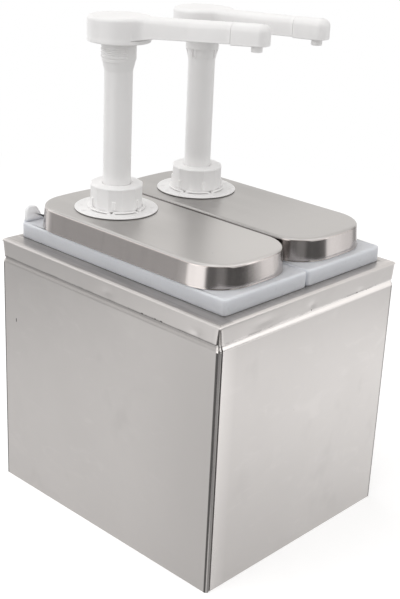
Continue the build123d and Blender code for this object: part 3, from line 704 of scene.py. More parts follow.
def drawn_wall(name, colour, seam):
    """Wall of a drawn steel lid: level draw lines spread its gloss upright; painted shade along the seam."""
    paint = Paint(name)
    clouds = paint.noise(18, 3, distortion=0.4)
    lines = paint.noise(60, 3, stretch=(1, 1, 26), roughness=0.7)
    fine = paint.noise(260, 2, stretch=(1, 1, 12), roughness=0.7)
    streaks = paint.noise(170, 2, stretch=(1, 1, 0.15)).ease(0.45, 0.7)
    light = 0.30 * clouds + 0.45 * lines + 0.25 * fine
    base = paint.blend(scaled(colour, 0.88), scaled(colour, 1.10), light)
    base = paint.blend(base, scaled(colour, 0.90), 0.5 * streaks)
    seam_shade = 1 - abs(paint.x - seam).ease(3.0 * MM, 4.2 * MM)
    # Painted shade in the gap between the lids.
    base = paint.blend(base, scaled(colour, 0.30), 0.85 * seam_shade)
    rough = 0.155 + 0.04 * lines + 0.02 * fine
    paint.bump(0.7 * lines + 0.3 * fine, 0.016)
    return paint.finish(base, rough, 1.0, Anisotropic=0.5, Anisotropic_Rotation=0.25)


def milky_jar(name, colour, rim_top):
    """Milky moulded jar: cloudy body, fine sink marks, painted pale above the rim as a painted glow of light shining
    through it.
    """
    paint = Paint(name)
    clouds = paint.noise(22, 3, distortion=0.5)
    fine = paint.noise(600, 3, roughness=0.65)
    scratches = paint.noise(180, 2, stretch=(1, 9, 1), distortion=0.4).ease(0.62, 0.70)
    backlit_glow = (paint.z - rim_top).ease(-0.2 * MM, 3.0 * MM)
    base = paint.blend(scaled(colour, 0.93), scaled(colour, 1.05), clouds)
    base = paint.blend(base, scaled(colour, 1.12), 0.5 * paint.edge)
    base = paint.blend(base, scaled(colour, 0.80), 0.25 * scratches)
    # Painted glow: light through the plastic above the rim.
    base = paint.blend(base, (0.95, 0.96, 0.98), 0.85 * backlit_glow)
    rough = 0.36 + 0.10 * fine + 0.10 * scratches
    paint.bump(0.7 * fine + 0.3 * clouds, 0.06)
    return paint.finish(base, rough, Subsurface_Weight=0.75, Subsurface_Radius=(0.010,) * 3, Subsurface_Scale=1.0)


def moulded(name, colour, gloss=0.32, banded=0.0):
    """Moulded pump plastic: soft flow clouds, faint upright bands, paler edges, fine dust."""
    paint = Paint(name)
    clouds = paint.noise(40, 3, distortion=0.7)
    fine = paint.noise(750, 3, roughness=0.65)
    bands = paint.noise(160, 1, stretch=(1, 1, 0.05))
    dust = paint.specks(190, 0.07, 0.10)
    light = (1 - banded) * clouds + banded * bands
    base = paint.blend(scaled(colour, 0.94), scaled(colour, 1.05), light)
    base = paint.blend(base, scaled(colour, 1.10), 0.5 * paint.edge)
    base = paint.blend(base, scaled(colour, 0.72), 0.35 * dust)
    rough = gloss + 0.10 * fine + 0.05 * clouds
    paint.bump(0.6 * fine + 0.4 * clouds, 0.05)
    return paint.finish(base, rough, Specular_IOR_Level=0.5)


def soft_rubber(name, colour):
    """Seal rubber: matt, with a fine pitted skin, a cloudy bloom and paler edges."""
    paint = Paint(name)
    bloom = paint.noise(90, 4, distortion=0.5)
    pits = paint.noise(1600, 2, roughness=0.7)
    base = paint.blend(scaled(colour, 0.82), scaled(colour, 1.10), bloom)
    base = paint.blend(base, scaled(colour, 1.25), 0.4 * paint.edge)
    paint.bump(pits, 0.25, 0.0002)
    return paint.finish(base, 0.68 + 0.14 * pits)


def bright_wire(name, colour, gloss=0.22):
    """Drawn stainless wire and ground balls: fine draw lines and a few dull spots."""
    paint = Paint(name)
    lines = paint.noise(2200, 2, stretch=(1, 1, 5), roughness=0.7)
    dull = paint.noise(260, 3).ease(0.50, 0.75)
    base = paint.blend(scaled(colour, 0.85), scaled(colour, 1.15), lines)
    base = paint.blend(base, scaled(colour, 0.70), 0.4 * dull)
    paint.bump(lines, 0.08, 0.0001)
    return paint.finish(base, gloss + 0.10 * lines + 0.12 * dull, 1.0)


# ------------------------------------------------------------------ box

SKIRT_GAP = 0.6 * MM  # open line between a skirt's foot and the joggle's top
NEAR_FACES = -0.1  # a place before this, along x or y, is on the left or front face
FRAME_STEPS = (72, 84)  # faces along a side of the top frame, on x and on y

# Knocks on the skirts, in mm, by (axis a skirt faces, which way):
# place along the skirt, height, spread and depth.
KNOCKS = {
    (0, -1): [(-6.7, 221.0, 4.0, 0.5), (-105.0, 219.0, 3.5, 0.6), (-60.0, 217.0, 9.0, 0.25)],
    (1, -1): [(-2.9, 219.5, 3.0, 0.4), (62.0, 214.8, 3.0, 0.5), (-60.0, 221.0, 10.0, 0.2)],
    (0, 1): [(35.0, 218.0, 6.0, 0.3)],
    (1, 1): [(20.0, 219.0, 7.0, 0.3)],
}

# Dark nicks, in mm: the axis they run along, place along it, height, half length, half height.
SKIRT_NICKS = (
    ("x", 57.2, 215.0, 1.3, 0.7), ("x", 69.8, 214.8, 0.9, 0.5), ("x", -2.8, 215.4, 0.4, 1.0),
    ("y", -47.2, 215.6, 1.1, 0.6), ("y", -61.4, 215.5, 1.0, 0.5), ("y", -68.1, 215.5, 1.6, 0.6),
)
WALL_NICKS = (("y", 110.7, 159.3, 0.7, 2.2),)


def skirt_rows(axis, facing, profile, folded, sizes):
    """One side of a skirt: each (distance inside, height) of a profile carried along its face.

    At a fold it ends on the mitre, as far short of the corner as it is inside the face;
    below the fold the end runs back in a straight line from the upper to the lower notch.
    A knock of depth d is d exp(-(along / spread)^2 - (up / 3 mm)^2).
    """
    *half, top = high("top_frame")
    drop = top - sizes.frame_bend - low("top_frame")[2]
    inset, level = profile[:, :1], profile[:, 1:]
    share = np.clip((top - sizes.frame_bend - level) / drop, 0, 1)
    short = np.where(np.arange(len(level))[:, None] < folded, inset, sizes.notch_top)
    short = short + (sizes.notch_foot - sizes.notch_top) * share
    along = (half[1 - axis] - short) * np.linspace(-1, 1, FRAME_STEPS[axis] + 1)
    ripple = np.sin(along * 95 + facing + axis) + 0.7 * np.sin(along * 233 + 2 * facing)
    outward = half[axis] - inset + 0.07 * MM * share**2 * ripple
    for place, height, spread, depth in KNOCKS[axis, facing]:
        off = ((along / MM - place) / spread) ** 2 + ((level / MM - height) / 3.0) ** 2
        outward = outward - depth * MM * np.exp(-off)
    grid = np.zeros(along.shape + (3,))
    grid[..., axis] = facing * outward
    grid[..., 1 - axis] = along
    grid[..., 2] = level
    return grid


def top_frame_parts(sizes):
    """Plate with the mouth, and four folded skirts whose ends open downwards.

    A fold of radius r is inset r (1 - sin a), down by r (1 - cos a). The lip turns down
    inside the mouth by the same fold, and its loops grow from the mouth's outline.
    """
    half = high("top_frame")[:2]
    top, foot = high("top_frame")[2], low("top_frame")[2]
    bend, sheet = sizes.frame_bend, sizes.sheet
    turn = quarter(8)
    over, down = 1 - np.sin(turn), 1 - np.cos(turn)
    under_in = bend - (bend - sheet) * np.sin(turn)
    under_z = top - bend + (bend - sheet) * np.cos(turn)
    drop = np.linspace(top - bend, foot + CUT, 14)
    cut_in, cut_z = np.r_[0.3 * CUT, CUT], np.r_[foot + 0.3 * CUT, foot]
    outside = np.column_stack([np.r_[bend * over, 0 * drop, cut_in], np.r_[top - bend * down, drop, cut_z]])
    inside = np.column_stack([np.r_[under_in, sheet + 0 * drop, sheet - cut_in], np.r_[under_z, drop, cut_z]])
    parts = []
    for axis in (0, 1):
        for facing in (-1, 1):
            front, rear = (skirt_rows(axis, facing, profile, len(turn), sizes) for profile in (outside, inside))
            parts.append(patch(np.concatenate([front, rear[::-1]])))
            parts += [patch(np.stack([front[:, end], rear[:, end]])) for end in (0, -1)]
    lip_foot = top - sizes.lip
    steps = {"side": FRAME_STEPS[0], "end": FRAME_STEPS[1]}

    def loop(grown, height):
        mouth = np.array([sizes.mouth_width, sizes.mouth_depth]) / 2 + grown
        return placed(outline((0, 0), *mouth, sizes.mouth_radius + grown, **steps), height)

    rim = [placed(outline((0, 0), *(half - bend), 0.0, **steps), z) for z in (top, top - sheet)]
    rings = [rim[0], loop(bend + 0.5 * MM, top)]
    rings += [loop(bend * o, top - bend * d) for o, d in zip(over, down)]
    rings += [loop(0, lip_foot + CUT), loop(0.3 * CUT, lip_foot), loop(sheet - 0.3 * CUT, lip_foot)]
    rings += [loop(sheet, lip_foot + CUT), loop(sheet, top - bend), loop(sheet + CUT, top - sheet), rim[1]]
    return [*parts, skin(rings)]


def wall_parts(sizes, facing=1.0):
    """Two walls in one sheet, stepped in behind the skirts, with a strip behind the seam.

    Seen from above the sheet is a path with round folds; with height the whole path moves
    inwards by lap * s, where s is a smooth step (3 t^2 - 2 t^3) over the joggle.
    """
    half = high("top_frame")[:2]
    joggle_top = low("top_frame")[2] - SKIRT_GAP
    joggle_foot = joggle_top - sizes.joggle
    levels = np.r_[0.0, CUT, np.linspace(20 * MM, joggle_foot - MM, 9)]
    levels = np.r_[levels, np.linspace(joggle_foot, joggle_top, 11), high("side_back_sheet")[2]]
    share = np.clip((levels - joggle_foot) / sizes.joggle, 0, 1)
    insets = sizes.lap * share**2 * (3 - 2 * share)
    over, back = 1 - np.sin(quarter(7)), 1 - np.cos(quarter(7))

    def path(inset, radius):
        x, y = half - inset
        begin = [(-half[0] + sizes.corner_face, -y)]
        first = np.column_stack([-x + radius * over, -y + radius * back])
        second = np.column_stack([-x + radius * back, y - radius * over])
        upright = np.linspace(-y + radius + CUT, y - radius - CUT, 14)
        rear = np.linspace(-x + radius + CUT, half[0] - sizes.corner_face - sizes.seam, 14)
        left = np.column_stack([0 * upright - x, upright])
        return np.concatenate([begin, first, left, second, np.column_stack([rear, 0 * rear + y])])

    loops = []
    for level, inset in zip(levels, insets):
        outside = path(inset, sizes.bend)
        inside = path(inset + sizes.sheet, sizes.bend - sizes.sheet)
        loops.append(placed(np.concatenate([outside, inside[::-1]]), level))
    count = len(loops[0]) // 2
    rims = [patch(np.stack([loop[:count], loop[: count - 1 : -1]])) for loop in (loops[0], loops[-1])]
    near, far = -half[0] + 0.5 * sizes.corner_face, -half[0] + sizes.corner_face + sizes.flange
    strip = [(near, 0.0), (far, 0.0), (far, joggle_foot), (near, joggle_foot)]
    upright = ((1, 0, 0), (0, 0, 1), (0, 1, 0))
    front = sizes.sheet - half[1]
    parts = [skin(loops), *rims, plate(strip, upright, front, front + sizes.lap, edge=0.2 * MM)]
    return [(points * (facing, facing, 1), quads) for points, quads in parts]


def pan_parts(sizes):
    """Tray: floor, round foot, upright lip, as loops drawn in along one profile."""
    half, lip = high("base_pan")[:2], high("base_pan")[2]
    sheet, bend, reach = sizes.sheet, sizes.bend, 20 * MM
    profile = soften(
        [(reach, sheet), (sheet, sheet), (sheet, lip), (0, lip), (0, 0), (reach, 0)],
        (0, bend - sheet, CUT, CUT, bend, 0), closed=False,
    )
    rings = [outline((0, 0), *(half - inset), max(bend - inset, 0)) for inset, _ in profile]
    rings = [placed(flat, level) for flat, (_, level) in zip(rings, profile)]
    return [skin([rings[0] * (0, 0, 1), *rings, rings[-1] * (0, 0, 1)])]


class STATION_OT_housing(bpy.types.Operator):
    """Makes the folded box: top frame, two L-shaped wall sheets and the floor pan"""

    bl_idname = "station.housing"
    bl_label = "Sheet steel box"

    def execute(self, context):
        sizes = context.scene.station_housing
        (left, front), (right, rear) = low("left_jar")[:2], high("right_jar")[:2]
        half_width, half_depth, top = high("top_frame")
        skirt_foot = low("top_frame")[2]
        level_grain = (14, 1, 1)
        level = satin_sheet("satin_sheet_level", sizes.colour, level_grain)
        frame_steel = satin_sheet("satin_sheet_frame", sizes.colour, level_grain, (
            (sheared_edge, (half_width, skirt_foot)),
            (rim_shade_and_streaks, (left, right, front, rear, top)),
            (dark_nicks, SKIRT_NICKS),
        ))
        upright = satin_sheet("satin_sheet_upright", sizes.colour, wear_and_shade=(
            (dark_nicks, WALL_NICKS),
            (stepped_wall, (half_width, half_depth, skirt_foot)),
        ))
        for name, parts, steel in (
            ("top_frame", top_frame_parts(sizes), frame_steel),
            ("side_back_sheet", wall_parts(sizes), upright),
            ("front_side_sheet", wall_parts(sizes, -1.0), upright),
            ("base_pan", pan_parts(sizes), level),
        ):
            build(f"{name}_look", parts, steel, "housing", [name])
        return {"FINISHED"}


# ------------------------------------------------------------------ jars and lids

LID_PLAY = 0.5 * MM  # between the jar's upstand and the lid


def lid_loop(node, sizes, inset):
    """Outline of a lid drawn in by inset."""
    half = (high(node) - low(node))[:2] / 2
    return outline(plan_centre(node), *(half - inset), sizes.corner - inset, sizes.crown)


def jar_parts(side, sizes, lid_sizes):
    """Jar as one closed skin: floor, tub, upstand, rim and back down the outside.

    The tub's outline is drawn in by (rim top - z) tan(draft). Between two heights the skin
    runs straight from one outline to the next, point by point. A round edge of radius r is
    inset r (1 - sin a) and lies r (1 - cos a) along.
    """
    node, lid = f"{side}_jar", f"{side}_lid"
    foot, rim_foot, rim_top = low(node)[2], high("top_frame")[2], low(lid)[2]
    centre = plan_centre(node)
    half = (high(node) - low(node))[:2] / 2
    wall, edge, slope = sizes.wall, sizes.rim_edge, math.tan(sizes.draft)
    tub_half = half - (sizes.overhang_side, sizes.overhang_end)
    clear = lid_sizes.sheet + LID_PLAY
    bends = [(1 - math.sin(a), 1 - math.cos(a)) for a in quarter(7)]

    def tub(level, inset):
        shift = (rim_top - level) * slope + inset
        return placed(outline(centre, *(tub_half - shift), sizes.tub_corner - shift), level)

    def rim(inset, level):
        return placed(outline(centre, *(half - inset), max(sizes.rim_corner - inset, 0.2 * MM)), level)

    def ring(inset, level):
        return placed(lid_loop(lid, lid_sizes, clear + inset), level)

    floor, inner, outer = foot + wall, sizes.tub_foot - wall, sizes.tub_foot
    top, thick, throat = rim_top + sizes.upstand, sizes.upstand_wall, 1.2 * MM
    under = rim_top - wall
    pole = np.zeros_like(tub(floor, 0)) + (*centre, floor)
    inside = [pole, tub(floor, wall + 10 * MM)]
    inside += [tub(floor + inner * on, wall + inner * off) for off, on in bends]
    inside += [tub(level, wall) for level in np.linspace(floor + 20 * MM, rim_top - 4 * MM, 6)]
    inside += [tub(rim_top - throat * off, wall - throat * on) for off, on in bends]
    upstand = [
        ring(thick + 0.6 * MM, rim_top), ring(thick, rim_top + 0.6 * MM), ring(thick, top - 0.7 * MM),
        ring(thick - 0.3 * MM, top), ring(0.3 * MM, top), ring(0, top - 0.7 * MM),
        ring(0, rim_top + 0.5 * MM), ring(-0.4 * MM, rim_top),
    ]
    ledge = [rim(edge + 0.4 * MM, rim_top)]
    ledge += [rim(edge * off, rim_top - edge * on) for off, on in bends]
    ledge += [
        rim(0, rim_foot + 0.6 * MM), rim(0.15 * MM, rim_foot + 0.15 * MM), rim(0.5 * MM, rim_foot),
        rim(wall - 0.4 * MM, rim_foot), rim(wall, rim_foot + 0.5 * MM), rim(wall, under - 1.2 * MM),
        rim(wall + 1.0 * MM, under), tub(under, -1.0 * MM),
    ]
    outside = [tub(level, 0) for level in np.linspace(under - 1.0 * MM, foot + 20 * MM, 7)]
    outside += [tub(foot + outer * on, outer * off) for off, on in bends[::-1]]
    outside += [tub(foot, outer + 8 * MM), pole - (0, 0, wall)]
    parts = [skin([*inside, *upstand, *ledge, *outside])]
    return [*parts, *jar_ribs(centre, half, sizes, rim_top), *jar_lugs(centre, high(node), half)]


def jar_ribs(centre, half, sizes, rim_top):
    """Thin ribs under the rim, from the tub to the rim's wall."""
    depth, thick = 6.0 * MM, 1.8 * MM
    inner = half[0] - sizes.overhang_side - 0.5 * MM
    outer = half[0] - sizes.wall + 0.3 * MM
    under = rim_top - sizes.wall + 0.3 * MM
    flat = [(inner, under - depth), (outer, under - 0.6 * depth), (outer, under), (inner, under)]
    parts = []
    for hand in (-1, 1):
        axes = ((hand, 0, 0), (0, 0, 1), (0, 1, 0))
        points, quads = plate(flat, axes, -thick / 2, thick / 2, edge=0.3 * MM)
        parts += [(points + (centre[0], centre[1] + place * MM, 0), quads) for place in (-88, -44, 0, 44, 88)]
    return parts


def jar_lugs(centre, top, half):
    """Two upright finger lugs at the rear corners: a rounded outline with round edges."""
    wide, tall, thick = 20.0 * MM, 13.2 * MM, 3.4 * MM
    outer = half[0] - 2.4 * MM
    near, foot = outer - wide, top[2] - tall - 0.8 * MM
    corners = [
        (near - 5.0 * MM, foot), (outer, foot), (outer, foot + 3.0 * MM), (outer - 1.0 * MM, top[2]),
        (near + 9.0 * MM, top[2]), (near + 2.5 * MM, foot + 3.0 * MM), (near - 5.0 * MM, foot + 0.9 * MM),
    ]
    flat = soften(corners, np.array([0, 0, 1.5, 4.5, 7.0, 7.0, 0]) * MM, steps=8)
    rear = top[1] - 1.0 * MM - centre[1]
    parts = []
    for hand in (-1, 1):
        axes = ((hand, 0, 0), (0, 0, 1), (0, 1, 0))
        points, quads = plate(flat, axes, rear - thick, rear, edge=0.9 * MM, steps=5)
        parts.append((points + (*centre, 0), quads))
    return parts


def lid_parts(side, sizes):
    """Drawn cover: wall, round edge, flat top down to the pump's hole, and its inside.

    The wall is drawn in by (z - foot) tan(flare), and a small bead runs round its foot. The
    top's loops run from the outline to the hole: each point moves straight towards the
    hole's point at the same bearing.
    """
    node = f"{side}_lid"
    foot, top = low(node)[2], high(node)[2] + sizes.rise
    pump = plan_centre(f"{side}_collar")
    edge, sheet = sizes.edge, sizes.sheet
    hole, bead = 19.6 * MM, 0.19 * MM

    def loop(inset, level):
        drawn_in = (np.minimum(level, top - edge) - foot) * math.tan(sizes.flare)
        return placed(lid_loop(node, sizes, inset + drawn_in), level)

    def round_edge(inset, radius, level):
        return [loop(inset + radius * (1 - math.cos(a)), level - radius * (1 - math.sin(a))) for a in quarter(8)]

    def sheet_top(level, shares):
        outer = loop(edge + 0.4 * MM, level)
        bearing = np.arctan2(outer[:, 1] - pump[1], outer[:, 0] - pump[0])
        inner = round_axis(pump, hole, bearing, level)
        return [outer + (inner - outer) * share for share in shares]

    rings = [
        loop(0.05 * MM, foot), loop(-bead, foot + 0.2 * MM), loop(-bead, foot + 0.35 * MM),
        loop(0, foot + 0.95 * MM), loop(0, foot + 1.4 * MM), loop(0, (foot + top) / 2),
        loop(0, top - edge - 0.5 * MM),
    ]
    rings += round_edge(0, edge, top)
    rings += sheet_top(top, np.linspace(0, 1, 9))
    rings += sheet_top(top - sheet, np.linspace(1, 0, 5))
    rings += round_edge(sheet, edge - sheet, top - sheet)[::-1]
    rings += [loop(sheet, foot + 0.25 * MM), loop(sheet - 0.15 * MM, foot)]
    return [skin(rings, closed=True)]


class STATION_OT_jars(bpy.types.Operator):
    """Makes the two milky jars that hang in the box by their rims"""

    bl_idname = "station.jars"
    bl_label = "Jars"

    def execute(self, context):
        sizes = context.scene.station_jars
        plastic = milky_jar("milky_jar", sizes.colour, low("left_lid")[2])
        for side in SIDES:
            parts = jar_parts(side, sizes, context.scene.station_lids)
            build(f"{side}_jar_look", parts, plastic, f"{side}_jar_unit", [f"{side}_jar"])
        return {"FINISHED"}


class STATION_OT_lids(bpy.types.Operator):
    """Makes the two drawn steel lids"""

    bl_idname = "station.lids"
    bl_label = "Lids"

    def execute(self, context):
        sizes = context.scene.station_lids
        seam = (high("left_lid")[0] + low("right_lid")[0]) / 2
        wall = drawn_wall("drawn_wall", sizes.wall_reflection_tint, seam)
        # The right lid's top is darker: 0.87 of the lid colour.
        for side, top_scale in zip(SIDES, (1.0, 0.87)):
            top = scaled(sizes.colour, top_scale)
            steel = drawn_lid(f"{side}_drawn_lid", top, plan_centre(f"{side}_collar"), seam)
            parts = lid_parts(side, sizes)
            build(f"{side}_lid_look", parts, steel, f"{side}_lid_unit", [f"{side}_lid"], upright=wall)
        return {"FINISHED"}


# ------------------------------------------------------------------ pump bodies

# Radii that pieces of a pump share.
NECK = 19.05 * MM  # flange's neck, barrel's flange and bush's flange
SPIGOT_HOLE = 19.7 * MM  # holes of the gasket and the nut
GUIDE = 12.0 * MM  # holes that the plunger tube runs in
VALVE_HOLE = 3.95 * MM  # holes that the balls close
PUSH_FIT = 0.1 * MM  # between pieces that are pushed together
SEAT_DROP = 1.6 * MM  # from the resting suction ball's foot down to its seat


def flange_parts(side, sizes, rise):
    """Disc with the broken ratchet ring and raised dashes, the neck above, the spigot below.

    The ring is six arcs of one section, each 55 degrees long, with a slot under it. An
    arc stands 2.1 mm high at its leading end and slopes down to 1.3 mm. rise is how far
    the lid's pressed top stands above the pump's seat.
    """
    node = f"{side}_pump_flange"
    centre = plan_centre(node)
    foot, top = low(node)[2], high(node)[2]
    under = high(f"{side}_lid")[2] + rise
    disc_top = under + 1.3 * MM
    bore, spigot, disc = 15.7 * MM, 19.3 * MM, sizes.disc / 2
    profile = soften(
        [
            (spigot, foot), (spigot, under), (disc - 2.6 * MM, under), (disc - 0.5 * MM, under + 0.45 * MM),
            (disc, under + 0.6 * MM), (disc, disc_top), (NECK, disc_top), (NECK, top), (bore, top), (bore, foot),
        ],
        np.array([0.4, 0.2, 0.2, 0.2, 0.2, 0.35, 0.3, 0.4, 0.4, 0.4]) * MM,
    )
    ring, inner, arc = sizes.ratchet / 2, 21.9 * MM, 55
    lead = {"left": 220.0, "right": 200.0}[side]
    spread = np.linspace(0, arc, 34)
    ends = np.clip(np.minimum(spread / 1.5, (arc - spread) / 6), 0, 1)
    slot = disc_top + np.where((spread > 5) & (spread < arc - 5), 0.55, -0.2) * MM
    crown = disc_top + (0.75 + ends * (1.35 - 0.8 * spread / arc)) * MM
    section = (
        (inner, slot), (ring - 0.2 * MM, slot), (ring, slot + 0.15 * MM), (ring, crown - 0.3 * MM),
        (ring - 0.3 * MM, crown), (inner + 0.2 * MM, crown), (inner, crown - 0.1 * MM),
    )
    parts = [turned(centre, profile)]
    for number in range(6):
        bearing = np.radians(spread + lead + 60 * number)
        loops = np.stack([round_axis(centre, radius, bearing, level) for radius, level in section], axis=1)
        parts.append(skin(capped(loops)))
    dash = np.array([(28.6, -0.45), (32.8, -0.45), (32.8, 0.45), (28.6, 0.45)]) * MM
    for bearing in full_turn(12) + math.pi / 12:
        axes = ((math.cos(bearing), math.sin(bearing), 0), (-math.sin(bearing), math.cos(bearing), 0), (0, 0, 1))
        points, quads = plate(dash, axes, disc_top - 0.2 * MM, disc_top + 0.4 * MM, 0.15 * MM, 2)
        parts.append((points + (*centre, 0), quads))
    return parts


def nut_parts(side):
    """Lobed nut: the edge is the smaller of a circle and eight hollows.

    A hollow is a circle of radius 5 whose middle lies d out: at a bearing t from it, its
    near side is at d cos t - sqrt(25 - (d sin t)^2).
    """
    node = f"{side}_flange_nut"
    centre = plan_centre(node)
    foot, top = low(node)[2], high(node)[2]
    bearing = full_turn(192)
    away = (bearing + math.pi / 8) % (math.pi / 4) - math.pi / 8
    middle, hollow, rim, soft = 29.5 * MM, 5.0 * MM, 27.0 * MM, 0.5 * MM
    off = np.abs(middle * np.sin(away))
    near = middle * np.cos(away) - np.sqrt(np.maximum(hollow**2 - off**2, 0))
    edge = np.where(off < hollow, np.minimum(near, rim), rim)
    rows = [(edge - soft, foot), (edge, foot + soft), (edge, top - soft), (edge - soft, top)]
    rows += [(SPIGOT_HOLE, top), (SPIGOT_HOLE, foot)]
    return [skin([round_axis(centre, radius, bearing, level) for radius, level in rows], closed=True)]


def collar_parts(side, sizes, rise):
    """Grip ring: flats of a regular polygon, a chamfered top, six ribs round its foot.

    A flat's radius at a bearing t from its middle is apothem / cos t, and a fine bead
    stands where two flats meet. A rib adds 1.2 mm over 2.6 mm of the way round, up to
    7.5 mm of height. A skirt inside the broken ring reaches down to the disc. The outside
    stands higher by rise, as the lid's pressed top does.
    """
    node = f"{side}_collar"
    centre = plan_centre(node)
    foot, top, shelf = low(node)[2] + rise, high(node)[2] + rise, high(node)[2] - 2.0 * MM
    apothem, step, rib_step = sizes.collar / 2, 2 * math.pi / sizes.sides, math.pi / 3
    lead = math.radians({"left": 222.0, "right": 240.5}[side])
    on_flat = np.radians([-15, -14.3, -13.6, -12.5, -10, -6, -2, 2, 6, 10, 12.5, 13.6, 14.3])
    on_rib = np.array([-0.072, -0.058, -0.044, 0.0, 0.044, 0.058, 0.072])
    flats = (np.arange(sizes.sides)[:, None] + 0.5) * step + on_flat
    ribs = lead + np.arange(6)[:, None] * rib_step + on_rib
    bearing = np.concatenate([flats.ravel(), ribs.ravel() % (2 * math.pi)])
    bearing = np.unique(np.round(bearing, 5))
    away = bearing % step - step / 2
    flat_radius = apothem / np.cos(away)
    from_edge = (np.abs(away) - step / 2) * apothem / MM
    bead = (0.14 * np.exp(-((from_edge / 0.5) ** 2)) - 0.20 * np.exp(-((from_edge / 1.4) ** 2))) * MM
    from_rib = (bearing - lead + rib_step / 2) % rib_step - rib_step / 2
    on_ribs = 1.2 * MM * np.clip((0.065 - np.abs(from_rib)) / 0.012, 0, 1)
    # Over the foot or under the top in mm: how far out, and the shares of a rib and of the beads.
    over_foot = (
        (-1.9, -0.5, 0, 0), (-1.7, -0.3, 0, 0), (0.2, 0, 0, 0), (0.6, 0, 1, 1),
        (6.2, 0, 1, 1), (7.0, 0, 0.8, 1), (7.3, 0, 0, 1), (9.0, 0, 0, 1),
    )
    under_top = (
        (-2.4, 0, 0, 1), (-2.0, 0, 0, 0.5), (-1.8, 0.20, 0, 0), (-1.4, 0.20, 0, 0),
        (-0.3, -0.6, 0, 0), (-0.08, -0.95, 0, 0), (0, -1.4, 0, 0), (0, -4.0, 0, 0),
    )
    rows = [
        (flat_radius + crisp * bead + out * MM + rib * on_ribs, base + up * MM)
        for base, section in ((foot, over_foot), (top, under_top)) for up, out, rib, crisp in section
    ]
    thread, ledge = 19.45 * MM, 13.4 * MM
    rows += [
        (ledge + 0.3 * MM, top), (ledge, top - 0.3 * MM), (GUIDE + 0.3 * MM, top - 0.5 * MM), (GUIDE, top - 0.8 * MM),
        (GUIDE, shelf), (thread, shelf), (thread, foot + 0.3 * MM), (thread + 0.3 * MM, foot - 1.9 * MM),
    ]
    return [skin([round_axis(centre, radius, bearing, level) for radius, level in rows], closed=True)]


def gasket_parts(side):
    """Flat ring under the lid, a soft rectangle turned about the pump's axis."""
    node = f"{side}_flange_gasket"
    foot, top, outside = low(node)[2], high(node)[2], 28.0 * MM
    profile = [(SPIGOT_HOLE, foot), (outside, foot), (outside, top), (SPIGOT_HOLE, top)]
    return [turned(plan_centre(node), soften(profile, 0.4 * MM))]


def cylinder_parts(side, sizes):
    """Pump cylinder as one closed profile turned about its axis."""
    node = f"{side}_cylinder"
    foot, top = low(node)[2], high(node)[2]
    bore, outside = sizes.barrel / 2, sizes.barrel / 2 + 2.2 * MM
    floor = low(f"{side}_valve_cage")[2]
    seat = low(f"{side}_inlet_ball")[2] - SEAT_DROP
    narrow, chamber, socket = 9.0 * MM, 7.0 * MM, 6.1 * MM
    shoulder, plug, flange = floor - 2.2 * MM, foot + 10 * MM, top - 2 * MM
    profile = [
        (NECK, top), (NECK, flange), (outside, flange), (outside, shoulder),
        (narrow, shoulder - (outside - narrow)), (narrow, foot), (socket, foot), (socket, plug),
        (VALVE_HOLE, plug), (VALVE_HOLE, seat), (chamber, seat), (chamber, floor), (bore, floor), (bore, top),
    ]
    radii = np.array([0.5, 0.5, 0.6, 1.0, 1.0, 0.5, 0.4, 0.2, 0.2, 0.2, 0.4, 0.4, 0.4, 0.5]) * MM
    return [turned(plan_centre(node), soften(profile, radii))]


def bush_parts(side, sizes):
    """Flanged bush that guides the plunger tube, as one turned profile."""
    node = f"{side}_guide_bush"
    foot, top = low(node)[2], high(node)[2]
    outside, under = sizes.barrel / 2 - PUSH_FIT, top - 1.5 * MM
    profile = [(GUIDE, foot), (outside, foot), (outside, under), (NECK, under), (NECK, top), (GUIDE, top)]
    return [turned(plan_centre(node), soften(profile, 0.4 * MM))]


def cage_parts(side, sizes):
    """Slotted disc. A slot's edge at a bearing t from its axis is 1.5 / sin t, up to its end."""
    node = f"{side}_valve_cage"
    foot, top = low(node)[2], high(node)[2]
    bearing = full_turn(240)
    away = np.abs((bearing + math.pi / 4) % (math.pi / 2) - math.pi / 4)
    slot = np.minimum(9.0 / np.cos(away), 1.5 / np.maximum(np.sin(away), 1e-3)) * MM
    inner, outer, soft = np.maximum(VALVE_HOLE, slot), sizes.barrel / 2 - PUSH_FIT, 0.3 * MM
    rows = [
        (inner, foot), (outer - soft, foot), (outer, foot + soft),
        (outer, top - soft), (outer - soft, top), (inner, top),
    ]
    loops = [round_axis(plan_centre(node), radius, bearing, level) for radius, level in rows]
    return [skin(loops, closed=True)]


def pipe_parts(side, turn):
    """Suction pipe with a slanted end: its lowest rings rise by (radius - x) tan 30."""
    node = f"{side}_dip_tube"
    foot, top = low(node)[2], high(node)[2]
    outer, inner, soft = 6.0 * MM, 4.4 * MM, 0.3 * MM
    bearing = full_turn(64)
    slant = math.tan(math.radians(30))
    rows = [
        (inner, top - soft, 0), (inner, foot + 20 * MM, 0), (inner, foot, 1), (inner + soft, foot, 1),
        (outer - soft, foot, 1), (outer, foot + soft, 1), (outer, foot + 20 * MM, 0), (outer, top - 0.5 * MM, 0),
        (outer - 0.5 * MM, top, 0), (inner + soft, top, 0),
    ]
    loops = []
    for radius, level, slanted in rows:
        height = level + slanted * slant * (outer - radius * np.cos(bearing))
        loops.append(round_axis(plan_centre(node), radius, bearing + turn, height))
    return [skin(loops, closed=True)]


